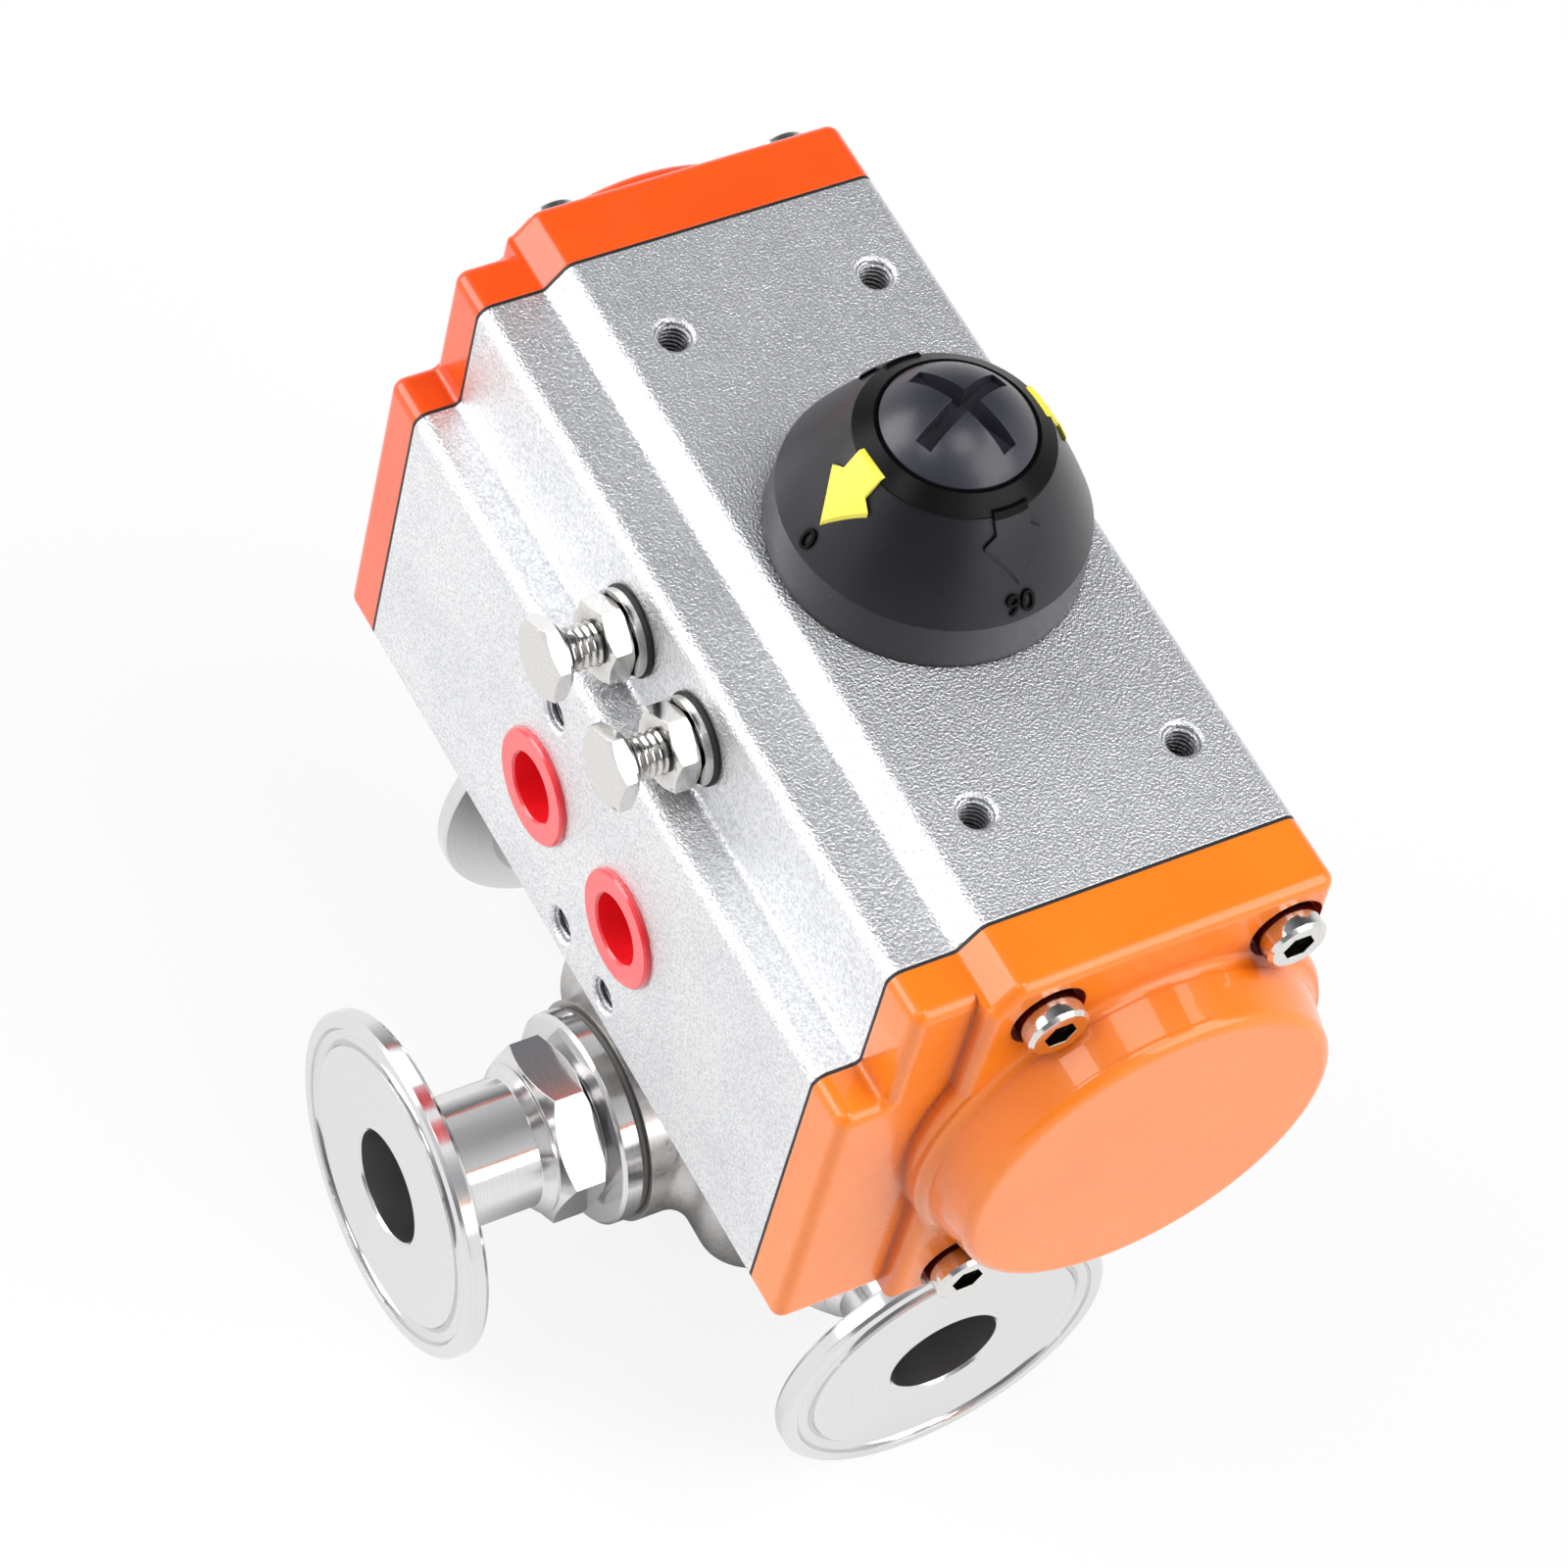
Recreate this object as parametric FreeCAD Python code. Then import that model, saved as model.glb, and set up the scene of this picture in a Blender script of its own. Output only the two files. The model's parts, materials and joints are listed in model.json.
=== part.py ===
import FreeCAD, Part
import math
import os

# Three-way ball valve with a double-acting rack-and-pinion actuator.
# Millimetres. The origin is the ball's centre, where the stem axis (Z) meets the port axes.
# Ports A and B look along -X and +X, port C looks along -Y, and the actuator lies along X above.

# Clearances
running_clearance = 0.05
free_clearance = 0.10
open_gap = 0.30
piston_clearance = 0.15
rack_back_clearance = 0.70
plug_clearance = 0.15
hole_spare = 1.0

# Small values shared by many shapes: how far a cut or a hidden root runs past the surface it
# meets, and how near to a plane an edge counts as lying in it
overshoot = 1.0
in_plane = 1e-4

# Ports, ferrules and end connectors
run_port_face = 53.5
branch_port_face = 60.0
port_bore_radius = 8.25
port_edge_chamfer = 0.4
tube_radius = 9.525
ferrule_radius = 25.25
ferrule_rim_thickness = 2.85
ferrule_back_angle = 20.0
ferrule_cone_width = 6.5
ferrule_edge_round = 0.5
gasket_groove_radius = 21.8
gasket_groove_half_width = 1.3
hexagon_across_flats = 23.0
hexagon_length = 8.0
hexagon_turn = 17.0
hexagon_face_share = 0.89
collar_radius = 15.6
collar_length = 3.4
collar_bevel = 0.5
tube_flare = 1.5
bore_taper_length = 8.0
body_seal_thickness = 0.6
body_seal_width = 1.1

# Valve body
neck_radius = 16.3
neck_end = 27.0
neck_thread_radius = 14.0
neck_root_round = 3.0
body_core_radius = 21.4
body_core_half_length = 24.5
body_core_round = 4.0
bonnet_radius = 13.0
pad_thickness = 6.0
pad_half_width = 19.0
pad_corner_radius = 6.0
spigot_radius = 12.4
spigot_height = 1.5

# Ball and seats
ball_radius = 13.0
ball_bore_radius = 7.0
ball_branch_radius = 6.8
ball_slot_width = 5.2
ball_slot_depth = 4.5
seat_thickness_behind_ball = 1.5
seat_front_half_angle = 44.4

# Stem and its seals
stem_radius = 6.0
stem_shoulder_radius = 8.4
stem_shoulder_thickness = 2.3
stem_tang_width = 5.0
stem_square_engagement = 11.8
stem_square_start_below_pad = 5.3
thrust_seal_thickness = 1.5
stem_ring_height = 22.0
stem_ring_cord_radius = 0.75
packing_bottom = 26.0
packing_height = 6.0
packing_radius = 9.0
packing_rings = 3
packing_chevron_rise = 0.6
gland_height = 4.2
disc_spring_radius = 9.3
disc_spring_thickness = 0.7
disc_spring_rise = 0.4
gland_nut_across_flats = 18.0
gland_nut_height = 5.0
nut_chamber_radius = 11.0
nut_chamber_bottom = 35.5

# Actuator body; the heights of its pieces are counted from its bottom, its top or its cylinder
actuator_bottom = 49.5
axis_above_bottom = 33.7
top_above_axis = 36.8
body_half_length = 54.9
cylinder_radius = 26.0
back_radius = 30.0
back_flat = 24.0
top_edge_back = 22.9
top_edge_front = -22.5
upper_shelf_start = -25.5
upper_shelf_drop = 3.8
step_face = -35.0
lower_shelf_drop = 23.0
port_face = -41.5
corner_round = 2.0
inner_corner_round = 1.0
cam_pocket_radius = 17.0
cam_pocket_start = 16.8
cam_pocket_ceiling_drop = 10.4
spigot_recess_depth = 2.0

# Air interface on the port face
air_port_drop = 12.7
air_port_spacing = 24.0
air_port_radius = 5.9
air_port_depth = 11.5
air_port_chamfer = 1.0
air_passage_radius = 2.5
gallery_y = -33.5
gallery_drop = 22.2
gallery_radius = 2.0
interface_hole_rise = 16.0
interface_hole_radius = 2.5
interface_hole_depth = 8.0
coding_hole_depth = 4.0
hole_chamfer = 0.4

# Top mounting holes
top_hole_spacing_x = 80.0
top_hole_spacing_y = 30.0
top_hole_radius = 2.5
top_hole_depth = 8.0

# Fasteners between valve and actuator
flange_bolt_circle = 36.0
flange_bolt_radius = 2.5
flange_bolt_head_radius = 4.25
flange_bolt_head_height = 5.0
flange_bolt_length = 14.0
flange_washer_thickness = 1.2

# Heads of screws and nuts
socket_across_flats = 4.0
socket_depth = 2.5
screw_rim_round = 0.5
nut_chamfer_angle = 30.0
nut_face_share = 0.97

# End caps
cap_gasket_thickness = 0.5
cap_lug_thickness = 7.1
cap_pad_thickness = 10.1
cap_lug_round = 1.7
cap_pad_round = 1.7
cap_pad_edge_y = -26.3
cap_pad_bulge_radius = 29.5
cap_pad_bulge_rise = 1.3
dome_height = 8.5
dome_base_radius = 27.7
dome_top_radius = 26.5
dome_base_fillet = 1.6
dome_edge_round = 1.8
dome_wall = 2.4
dome_cavity_radius = 24.0
cap_air_slot_depth = 3.0
cap_screw_y = 17.3
cap_screw_rise = 28.9
cap_screw_radius = 2.5
cap_screw_head_radius = 4.25
cap_screw_head_height = 5.0
cap_screw_length = 18.0
cap_scoop_radius = 5.2
cap_scoop_depth = 1.9

# Rack and pinion
gear_module = 1.25
gear_teeth = 16
pressure_angle = 20.0
gear_addendum = 1.15
gear_dedendum = 1.60
rack_addendum = 1.10
rack_dedendum = 1.45
tooth_backlash = 0.12
gear_below_axis = 13.2
gear_above_axis = 11.8
flank_steps = 5
rack_half_height = 8.0
rack_inner_end = -20.5
first_rack_tooth = -5
last_rack_tooth = 2

# Pistons
piston_inner_face = 21.5
piston_thickness = 12.0
piston_recess_radius = 18.0
piston_recess_depth = 5.0
piston_ring_radius = 1.3
piston_ring_offset = 9.0
guide_ring_width = 3.0
guide_ring_thickness = 1.5
guide_ring_offset = 2.0
rack_pad_start = -18.0
rack_pad_end = 6.0
rack_pad_half_height = 6.0
rack_pad_thickness = 1.4

# Drive shaft
shaft_start = 0.2
lower_journal_radius = 9.4
upper_journal_radius = 8.0
shaft_top_radius = 7.0
shaft_shoulder_rise = 4.0
shaft_top_rise = 14.0
shaft_top_flats = 10.0
drive_square = 9.0
drive_square_depth = 14.3
lower_hole_radius = 11.45
upper_hole_radius = 10.0
lower_bearing_start = 5.0
lower_bearing_height = 3.5
upper_bearing_height = 3.6
lower_ring_rise = 3.5
upper_ring_drop = 4.8
lower_ring_cord_radius = 1.18
upper_ring_cord_radius = 1.10
washer_radius = 12.0
inner_washer_thickness = 1.2
outer_washer_thickness = 1.0
spacer_thickness = 0.8
circlip_thickness = 1.0
circlip_radius = 10.2
circlip_groove_depth = 0.7
circlip_opening = 3.0

# Stop cam and stop bolts
cam_start = 19.1
cam_thickness = 6.0
cam_radius = 16.5
cam_flat = 9.0
cam_hub_radius = 10.0
cam_key_flat = 7.0
stop_bolt_x = 9.0
stop_bolt_radius = 3.0
stop_bolt_thread_depth = 0.35
stop_bolt_pitch = 1.0
stop_bolt_face = -48.5
stop_bolt_head_height = 2.5
stop_bolt_head_flats = 10.0
stop_bolt_collar_radius = 4.7
stop_bolt_collar_height = 0.3
thread_crest_share = 0.2
stop_nut_height = 3.6
stop_nut_flats = 10.0
stop_washer_radius = 6.0
stop_washer_thickness = 1.15
stop_ring_radius = 6.3
stop_ring_thickness = 0.85
stop_ring_bulge = 0.22

# Port plugs
plug_flange_radius = 8.25
plug_flange_thickness = 0.9
plug_wall = 0.85
plug_length = 8.0
plug_bottom_thickness = 1.0
plug_rim_bevel = 0.3
plug_tip_taper = 0.4
plug_tip_taper_length = 0.8

# Indicator; its rises are counted from the actuator's top
indicator_gap = 0.35
indicator_turn = 3.0
indicator_base_radius = 20.9
indicator_shoulder_radius = 20.4
indicator_skirt_height = 6.6
indicator_belly_radius = 16.9
indicator_belly_rise = 13.6
indicator_neck_radius = 13.0
indicator_neck_rise = 19.9
indicator_ring_rise = 20.2
indicator_bevel_rise = 22.0
indicator_bevel_radius = 10.6
indicator_skirt_wall = 2.2
indicator_roof_height = 3.5
indicator_hub_radius = 9.6
yellow_arrow_depth = 1.0
yellow_arrow_lift = 0.8
black_arrow_lift = 0.8
arrow_tail_start = 12.0
arrow_tail_half_width = 2.5
arrow_barb_reach = 0.35
arrow_head_half_width = 4.2
arrow_head_start = 14.45
arrow_tip = 18.15
indicator_head_radius = 10.0
indicator_head_seat_rise = 19.05
indicator_head_edge_rise = 22.2
indicator_dome_height = 5.0
indicator_cross_turn = 19.0
indicator_cross_length = 15.4
indicator_cross_width = 2.4
indicator_cross_depth = 3.8
indicator_screw_radius = 2.95
indicator_screw_end_rise = 2.0

V = FreeCAD.Vector
AXES = {"x": V(1, 0, 0), "y": V(0, 1, 0), "z": V(0, 0, 1)}
CENTRE = V(0, 0, 0)


def place(axis, along, first, second):
    """Return the point at a distance along an axis, with the other two coordinates in order."""
    if axis == "x":
        return V(along, first, second)
    if axis == "y":
        return V(first, along, second)
    return V(first, second, along)


def rod(radius, start, end, axis="z", at=(0.0, 0.0)):
    """Make a cylinder between two positions on a line parallel to an axis."""
    low = min(start, end)
    return Part.makeCylinder(radius, abs(end - start), place(axis, low, *at), AXES[axis])


def ring(inner, outer, start, end, axis="z", at=(0.0, 0.0)):
    """Make a flat ring between two positions on an axis."""
    return rod(outer, start, end, axis, at).cut(rod(inner, start, end, axis, at))


def block(x, y, z):
    """Make a box from its low and high X, Y and Z."""
    low = V(x[0], y[0], z[0])
    return Part.makeBox(x[1] - x[0], y[1] - y[0], z[1] - z[0], low)


def polygon_face(points):
    """Make a flat face from a closed run of points."""
    return Part.Face(Part.makePolygon(points + [points[0]]))


def prism(points, axis, start, end):
    """Extrude an outline, given as the other two coordinates, along an axis."""
    face = polygon_face([place(axis, start, *point) for point in points])
    return face.extrude(AXES[axis] * (end - start))


def turned(points, axis, at=(0.0, 0.0)):
    """Turn an outline of (along, radius) points about a line parallel to an axis."""
    corners = [place(axis, along, at[0], at[1] + radius) for along, radius in points]
    if axis == "z":
        corners = [V(at[0] + radius, at[1], along) for along, radius in points]
    return polygon_face(corners).revolve(place(axis, 0.0, *at), AXES[axis], 360)


def torus(ring_radius, cord_radius, along, axis, at=(0.0, 0.0)):
    """Make an O-ring centred at a position on an axis."""
    return Part.makeTorus(ring_radius, cord_radius, place(axis, along, *at), AXES[axis])


def hexagon(across_flats, start, end, axis, at=(0.0, 0.0), turn=0.0, face_share=None):
    """Make a hexagonal bar; a face share is the part of the flats' width left flat at each end."""
    corner = across_flats / math.sqrt(3.0)
    angles = [math.radians(turn + 60.0 * i) for i in range(6)]
    outline = [(at[0] + corner * math.cos(a), at[1] + corner * math.sin(a)) for a in angles]
    low, high = min(start, end), max(start, end)
    bar = prism(outline, axis, low, high)
    if face_share is None:
        return bar
    face = across_flats / 2.0 * face_share
    rise = (corner - face) * math.tan(math.radians(nut_chamfer_angle))
    barrel = [(low, 0), (low, face), (low + rise, corner), (high - rise, corner), (high, face), (high, 0)]
    return bar.common(turned(barrel, axis, at))


def mouth(radius, chamfer, along, axis, at, outward):
    """Make the cone that chamfers a hole's mouth; outward is the sign of the way out."""
    inner = along - outward * chamfer
    outline = [(inner, 0), (inner, radius), (along, radius + chamfer), (along, 0)]
    return turned(outline, axis, at)


def rounded_edges(corners):
    """Join corners (first, second, round) of a polyline in the YZ plane with lines and tangent arcs."""
    points = [V(0, c[0], c[1]) for c in corners]
    edges = []
    start = points[0]
    for before, corner, after, data in zip(points, points[1:], points[2:], corners[1:]):
        radius = data[2]
        into = (before - corner).normalize()
        out = (after - corner).normalize()
        half = into.getAngle(out) / 2.0
        reach = radius / math.tan(half)
        middle_way = (into + out).normalize()
        arc_centre = corner + middle_way * (radius / math.sin(half))
        arc_start = corner + into * reach
        arc_end = corner + out * reach
        arc_middle = arc_centre - middle_way * radius
        edges.append(Part.LineSegment(start, arc_start).toShape())
        edges.append(Part.Arc(arc_start, arc_middle, arc_end).toShape())
        start = arc_end
    edges.append(Part.LineSegment(start, points[-1]).toShape())
    return edges


def section_face():
    """Make the outline that the extruded body, its gaskets and its end caps share, at X = 0."""
    bulge_rise = math.sqrt(back_radius**2 - back_flat**2)
    upper = cylinder_height + bulge_rise
    lower = cylinder_height - bulge_rise
    corners = [
        (back_flat, upper, 0),
        (top_edge_back, actuator_top, corner_round),
        (top_edge_front, actuator_top, corner_round),
        (upper_shelf_start, upper_shelf_height, inner_corner_round),
        (step_face, upper_shelf_height, corner_round),
        (step_face, lower_shelf_height, inner_corner_round),
        (port_face, lower_shelf_height, corner_round),
        (port_face, actuator_bottom, inner_corner_round),
        (back_flat, actuator_bottom, corner_round),
        (back_flat, lower, 0),
    ]
    edges = rounded_edges(corners)
    bulge = Part.Arc(
        V(0, back_flat, lower), V(0, back_radius, cylinder_height), V(0, back_flat, upper)
    )
    edges.append(bulge.toShape())
    return Part.Face(Part.Wire(Part.__sortEdges__(edges)))


def section_slab(start, end):
    """Extrude the shared outline between two positions on X."""
    face = section_face()
    face.translate(V(start, 0, 0))
    return face.extrude(V(end - start, 0, 0))


def rotate_z(shape, degrees):
    """Return a copy turned about the stem axis."""
    copy = shape.copy()
    copy.rotate(CENTRE, AXES["z"], degrees)
    return copy


def union(shapes):
    """Fuse a list of shapes and drop the seams between coplanar faces."""
    result = shapes[0].multiFuse(shapes[1:])
    return result.removeSplitter()


def export(node, shape):
    """Write a node's solids to its STEP file."""
    solids = shape if isinstance(shape, list) else [shape]
    compound = Part.makeCompound([s for piece in solids for s in piece.Solids])
    compound.exportStep("parts/" + node + ".step")


# Places worked out from the sizes above
cylinder_height = actuator_bottom + axis_above_bottom
cylinder_at = (0.0, cylinder_height)
actuator_top = cylinder_height + top_above_axis
upper_shelf_height = actuator_top - upper_shelf_drop
lower_shelf_height = actuator_top - lower_shelf_drop
pad_bottom = actuator_bottom - pad_thickness
cam_pocket_bottom = cylinder_height + cam_pocket_start
cam_pocket_top = actuator_top - cam_pocket_ceiling_drop
air_port_height = cylinder_height - air_port_drop
gallery_height = cylinder_height - gallery_drop
cap_pad_bulge_height = cylinder_height + cap_pad_bulge_rise
gear_bottom = cylinder_height - gear_below_axis
gear_top = cylinder_height + gear_above_axis
shaft_bottom = actuator_bottom + shaft_start
shaft_top_start = actuator_top + shaft_shoulder_rise
shaft_top = actuator_top + shaft_top_rise
lower_bearing_bottom = actuator_bottom + lower_bearing_start
lower_ring_height = actuator_bottom + lower_ring_rise
upper_ring_height = actuator_top - upper_ring_drop
cam_bottom = cylinder_height + cam_start
cap_start = body_half_length + cap_gasket_thickness
cap_pad_face = cap_start + cap_pad_thickness
cap_lug_face = cap_start + cap_lug_thickness
dome_face = cap_pad_face + dome_height
screw_seat = cap_pad_face - cap_scoop_depth
cap_screw_places = [
    (side * cap_screw_y, cylinder_height + rise * cap_screw_rise) for side in (-1, 1) for rise in (-1, 1)
]
pitch_radius = gear_module * gear_teeth / 2.0
cam_top = cam_bottom + cam_thickness
stop_height = (cam_bottom + cam_top) / 2.0
stop_tip = -(cam_flat + open_gap)
seat_back = ball_radius + seat_thickness_behind_ball
seat_radius = ball_radius
shoulder_bottom = ball_radius + open_gap
shoulder_top = shoulder_bottom + stem_shoulder_thickness
thrust_seal_bottom = shoulder_top + free_clearance
thrust_ledge = thrust_seal_bottom + thrust_seal_thickness + running_clearance
stem_ring_floor = stem_radius - 2 * stem_ring_cord_radius
gland_bottom = packing_bottom + packing_height + running_clearance
spring_bottom = gland_bottom + gland_height + free_clearance
spring_step = disc_spring_thickness + disc_spring_rise + running_clearance
gland_nut_bottom = spring_bottom + 2 * spring_step
cap_screw_hole = body_half_length - (screw_seat - cap_screw_length) + hole_spare
flange_bolt_seat = pad_bottom - flange_washer_thickness
flange_bolt_hole = flange_bolt_seat + flange_bolt_length - actuator_bottom + hole_spare
bolt_circle_radius = flange_bolt_circle / 2.0
flange_places = [
    (bolt_circle_radius * math.cos(math.radians(a)), bolt_circle_radius * math.sin(math.radians(a)))
    for a in (45, 135, 225, 315)
]
air_port_places = [(-air_port_spacing / 2.0, air_port_height), (air_port_spacing / 2.0, air_port_height)]
indicator_base = actuator_top + indicator_gap
indicator_shoulder = indicator_base + indicator_skirt_height
indicator_belly_height = actuator_top + indicator_belly_rise
indicator_neck_height = actuator_top + indicator_neck_rise
indicator_ring_top = actuator_top + indicator_ring_rise
indicator_bevel_top = actuator_top + indicator_bevel_rise
indicator_head_bottom = actuator_top + indicator_head_seat_rise
indicator_head_edge = actuator_top + indicator_head_edge_rise
indicator_dome_top = indicator_head_edge + indicator_dome_height
indicator_screw_end = actuator_top + indicator_screw_end_rise
outer_washer_top = actuator_top + outer_washer_thickness
spacer_bottom = outer_washer_top + running_clearance
spacer_top = spacer_bottom + spacer_thickness
circlip_bottom = spacer_top + running_clearance
circlip_top = circlip_bottom + circlip_thickness


# Actuator body and end caps


def blind_hole(radius, mouth_at, depth, axis, at, outward, chamfer=hole_chamfer):
    """Make the cutter of a blind hole with a chamfered mouth."""
    hole = rod(radius, mouth_at, mouth_at - outward * depth, axis, at)
    return hole.fuse(mouth(radius, chamfer, mouth_at, axis, at, outward))


def actuator_body():
    body = section_slab(-body_half_length, body_half_length)
    cutters = [
        rod(cylinder_radius, -body_half_length, body_half_length, "x", cylinder_at),
        rod(cam_pocket_radius, cam_pocket_bottom, cam_pocket_top),
        rod(upper_hole_radius, cam_pocket_bottom, actuator_top),
        rod(lower_hole_radius, actuator_bottom, cylinder_height),
        rod(spigot_radius + free_clearance, actuator_bottom, actuator_bottom + spigot_recess_depth),
        rod(gallery_radius, -body_half_length, body_half_length, "x", (gallery_y, gallery_height)),
    ]
    for sx in (-1, 1):
        for sy in (-1, 1):
            at = (sx * top_hole_spacing_x / 2.0, sy * top_hole_spacing_y / 2.0)
            cutters.append(blind_hole(top_hole_radius, actuator_top, top_hole_depth, "z", at, 1))
        for at in cap_screw_places:
            hole_radius = cap_screw_radius + running_clearance
            cutters.append(blind_hole(hole_radius, sx * body_half_length, cap_screw_hole, "x", at, sx))
        at = (sx * stop_bolt_x, stop_height)
        cutters.append(rod(stop_bolt_radius + running_clearance, step_face, 0.0, "y", at))
    for at in flange_places:
        hole_radius = flange_bolt_radius + running_clearance
        cutters.append(blind_hole(hole_radius, actuator_bottom, flange_bolt_hole, "z", at, -1))
    for at in air_port_places:
        cutters.append(
            blind_hole(air_port_radius, port_face, air_port_depth, "y", at, -1, air_port_chamfer)
        )
    port_end = port_face + air_port_depth
    left, right = air_port_places
    cutters.append(rod(air_passage_radius, port_end, -cylinder_radius / 2.0, "y", left))
    cutters.append(rod(gallery_radius, gallery_height, air_port_height, "z", (right[0], gallery_y)))
    lower_hole = (right[0], air_port_height - interface_hole_rise)
    upper_hole = (left[0], air_port_height + interface_hole_rise)
    for at in (lower_hole, upper_hole):
        cutters.append(
            blind_hole(interface_hole_radius, port_face, interface_hole_depth, "y", at, -1)
        )
    coding_hole = (0.0, air_port_height - interface_hole_rise)
    cutters.append(blind_hole(interface_hole_radius, port_face, coding_hole_depth, "y", coding_hole, -1))
    return body.cut(cutters)


def front_edges(shape, x):
    """List the edges that lie in the plane at x."""
    boxes = [(edge, edge.BoundBox) for edge in shape.Edges]
    return [edge for edge, box in boxes if abs(box.XMin - x) < in_plane and abs(box.XMax - x) < in_plane]


def dome_outside():
    """Make the round dome with its filleted foot and rounded rim."""
    foot = dome_base_radius + dome_base_fillet
    base = cap_pad_face + dome_base_fillet
    diagonal = math.sqrt(0.5)
    fillet_middle = V(base - dome_base_fillet * diagonal, 0, foot - dome_base_fillet * diagonal)
    rim_start = V(dome_face - dome_edge_round, 0, dome_top_radius)
    rim_end = V(dome_face, 0, dome_top_radius - dome_edge_round)
    rim_middle = V(
        dome_face - dome_edge_round * (1 - diagonal), 0, dome_top_radius - dome_edge_round * (1 - diagonal)
    )
    edges = [
        Part.LineSegment(V(cap_start, 0, 0), V(cap_start, 0, foot)),
        Part.LineSegment(V(cap_start, 0, foot), V(cap_pad_face, 0, foot)),
        Part.Arc(V(cap_pad_face, 0, foot), fillet_middle, V(base, 0, dome_base_radius)),
        Part.LineSegment(V(base, 0, dome_base_radius), rim_start),
        Part.Arc(rim_start, rim_middle, rim_end),
        Part.LineSegment(rim_end, V(dome_face, 0, 0)),
        Part.LineSegment(V(dome_face, 0, 0), V(cap_start, 0, 0)),
    ]
    face = Part.Face(Part.Wire([e.toShape() for e in edges]))
    dome = face.revolve(CENTRE, AXES["x"], 360)
    dome.translate(V(0, 0, cylinder_height))
    return dome.common(section_slab(cap_start, dome_face + overshoot))


def end_cap():
    """Make the right end cap."""
    lug = section_slab(cap_start, cap_lug_face)
    lug = lug.makeFillet(cap_lug_round, front_edges(lug, cap_lug_face))
    pad = section_slab(cap_start, cap_pad_face)
    low_z, high_z = actuator_bottom - overshoot, actuator_top + overshoot
    keep = block((cap_start, cap_pad_face), (cap_pad_edge_y, back_radius + overshoot), (low_z, high_z))
    keep = keep.fuse(rod(cap_pad_bulge_radius, cap_start, cap_pad_face, "x", (0.0, cap_pad_bulge_height)))
    pad = pad.common(keep).removeSplitter()
    pad = pad.makeFillet(cap_pad_round, front_edges(pad, cap_pad_face))
    cap = union([lug, pad, dome_outside()])
    cutters = [
        rod(dome_cavity_radius, cap_start, dome_face - dome_wall, "x", cylinder_at),
    ]
    for at in cap_screw_places:
        cutters.append(rod(cap_screw_radius + open_gap, cap_start, cap_pad_face, "x", at))
        cutters.append(rod(cap_scoop_radius, screw_seat, dome_face, "x", at))
    slot_end = cap_start + cap_air_slot_depth
    slot_way = V(0, -gallery_y, cylinder_height - gallery_height).normalize()
    across = V(0, -slot_way.z, slot_way.y) * gallery_radius
    foot = V(cap_start, gallery_y, gallery_height)
    inner = foot + slot_way * (math.hypot(gallery_y, cylinder_height - gallery_height) - cylinder_radius / 2)
    slot = polygon_face([foot - across, inner - across, inner + across, foot + across])
    cutters.append(slot.extrude(V(slot_end - cap_start, 0, 0)))
    cutters.append(rod(gallery_radius, cap_start, slot_end, "x", (gallery_y, gallery_height)))
    return cap.cut(cutters)


def cap_gasket():
    """Make the right end cap gasket."""
    gasket = section_slab(body_half_length, cap_start)
    cutters = [rod(cylinder_radius, body_half_length, cap_start, "x", cylinder_at)]
    cutters.append(rod(gallery_radius, body_half_length, cap_start, "x", (gallery_y, gallery_height)))
    for at in cap_screw_places:
        cutters.append(rod(cap_screw_radius + open_gap, body_half_length, cap_start, "x", at))
    return gasket.cut(cutters)


def mirrored_x(shape):
    """Return the mirror image in the YZ plane."""
    return shape.mirror(CENTRE, AXES["x"])


def socket_screw(radius, head_radius, head_height, length, seat, axis, at, outward):
    """Make a socket head cap screw whose head rests at seat and whose top looks outward."""
    top = seat + outward * head_height
    rim = screw_rim_round
    outline = [
        (seat, 0),
        (seat, head_radius),
        (top - outward * rim, head_radius),
        (top, head_radius - rim),
        (top, 0),
    ]
    head = turned(outline, axis, at)
    shank = rod(radius, seat, seat - outward * length, axis, at)
    socket = hexagon(socket_across_flats, top, top - outward * socket_depth, axis, at)
    return union([head, shank]).cut(socket)


def cap_screws():
    screws = [
        socket_screw(
            cap_screw_radius,
            cap_screw_head_radius,
            cap_screw_head_height,
            cap_screw_length,
            side * screw_seat,
            "x",
            at,
            side,
        )
        for side in (-1, 1)
        for at in cap_screw_places
    ]
    return screws


# Rack, pinion and pistons


def involute_point(base_radius, radius, turn):
    """Return a point of the involute that starts at the base circle, turned about the axis."""
    unwound = math.sqrt(max((radius / base_radius) ** 2 - 1.0, 0.0))
    angle = turn + unwound - math.atan(unwound)
    return radius * math.cos(angle), radius * math.sin(angle)


def gear():
    """Make the pinion's teeth, with a tooth space centred on +Y and on -Y."""
    alpha = math.radians(pressure_angle)
    base_radius = pitch_radius * math.cos(alpha)
    tip_radius = pitch_radius + gear_addendum
    root_radius = pitch_radius - gear_dedendum
    thickness = math.pi * gear_module / 2.0 - tooth_backlash
    involute_at_pitch = math.tan(alpha) - alpha
    half_angle = thickness / (2.0 * pitch_radius) + involute_at_pitch
    radii = [base_radius + (tip_radius - base_radius) * i / flank_steps for i in range(flank_steps + 1)]
    flank = [(root_radius * math.cos(-half_angle), root_radius * math.sin(-half_angle))]
    flank += [involute_point(base_radius, r, -half_angle) for r in radii]
    tooth = flank + [(x, -y) for x, y in reversed(flank)]
    step = 2.0 * math.pi / gear_teeth
    outline = []
    for i in range(gear_teeth):
        angle = step * (i + 0.5)
        c, s = math.cos(angle), math.sin(angle)
        outline += [(x * c - y * s, x * s + y * c) for x, y in tooth]
    return prism(outline, "z", gear_bottom, gear_top)


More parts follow.
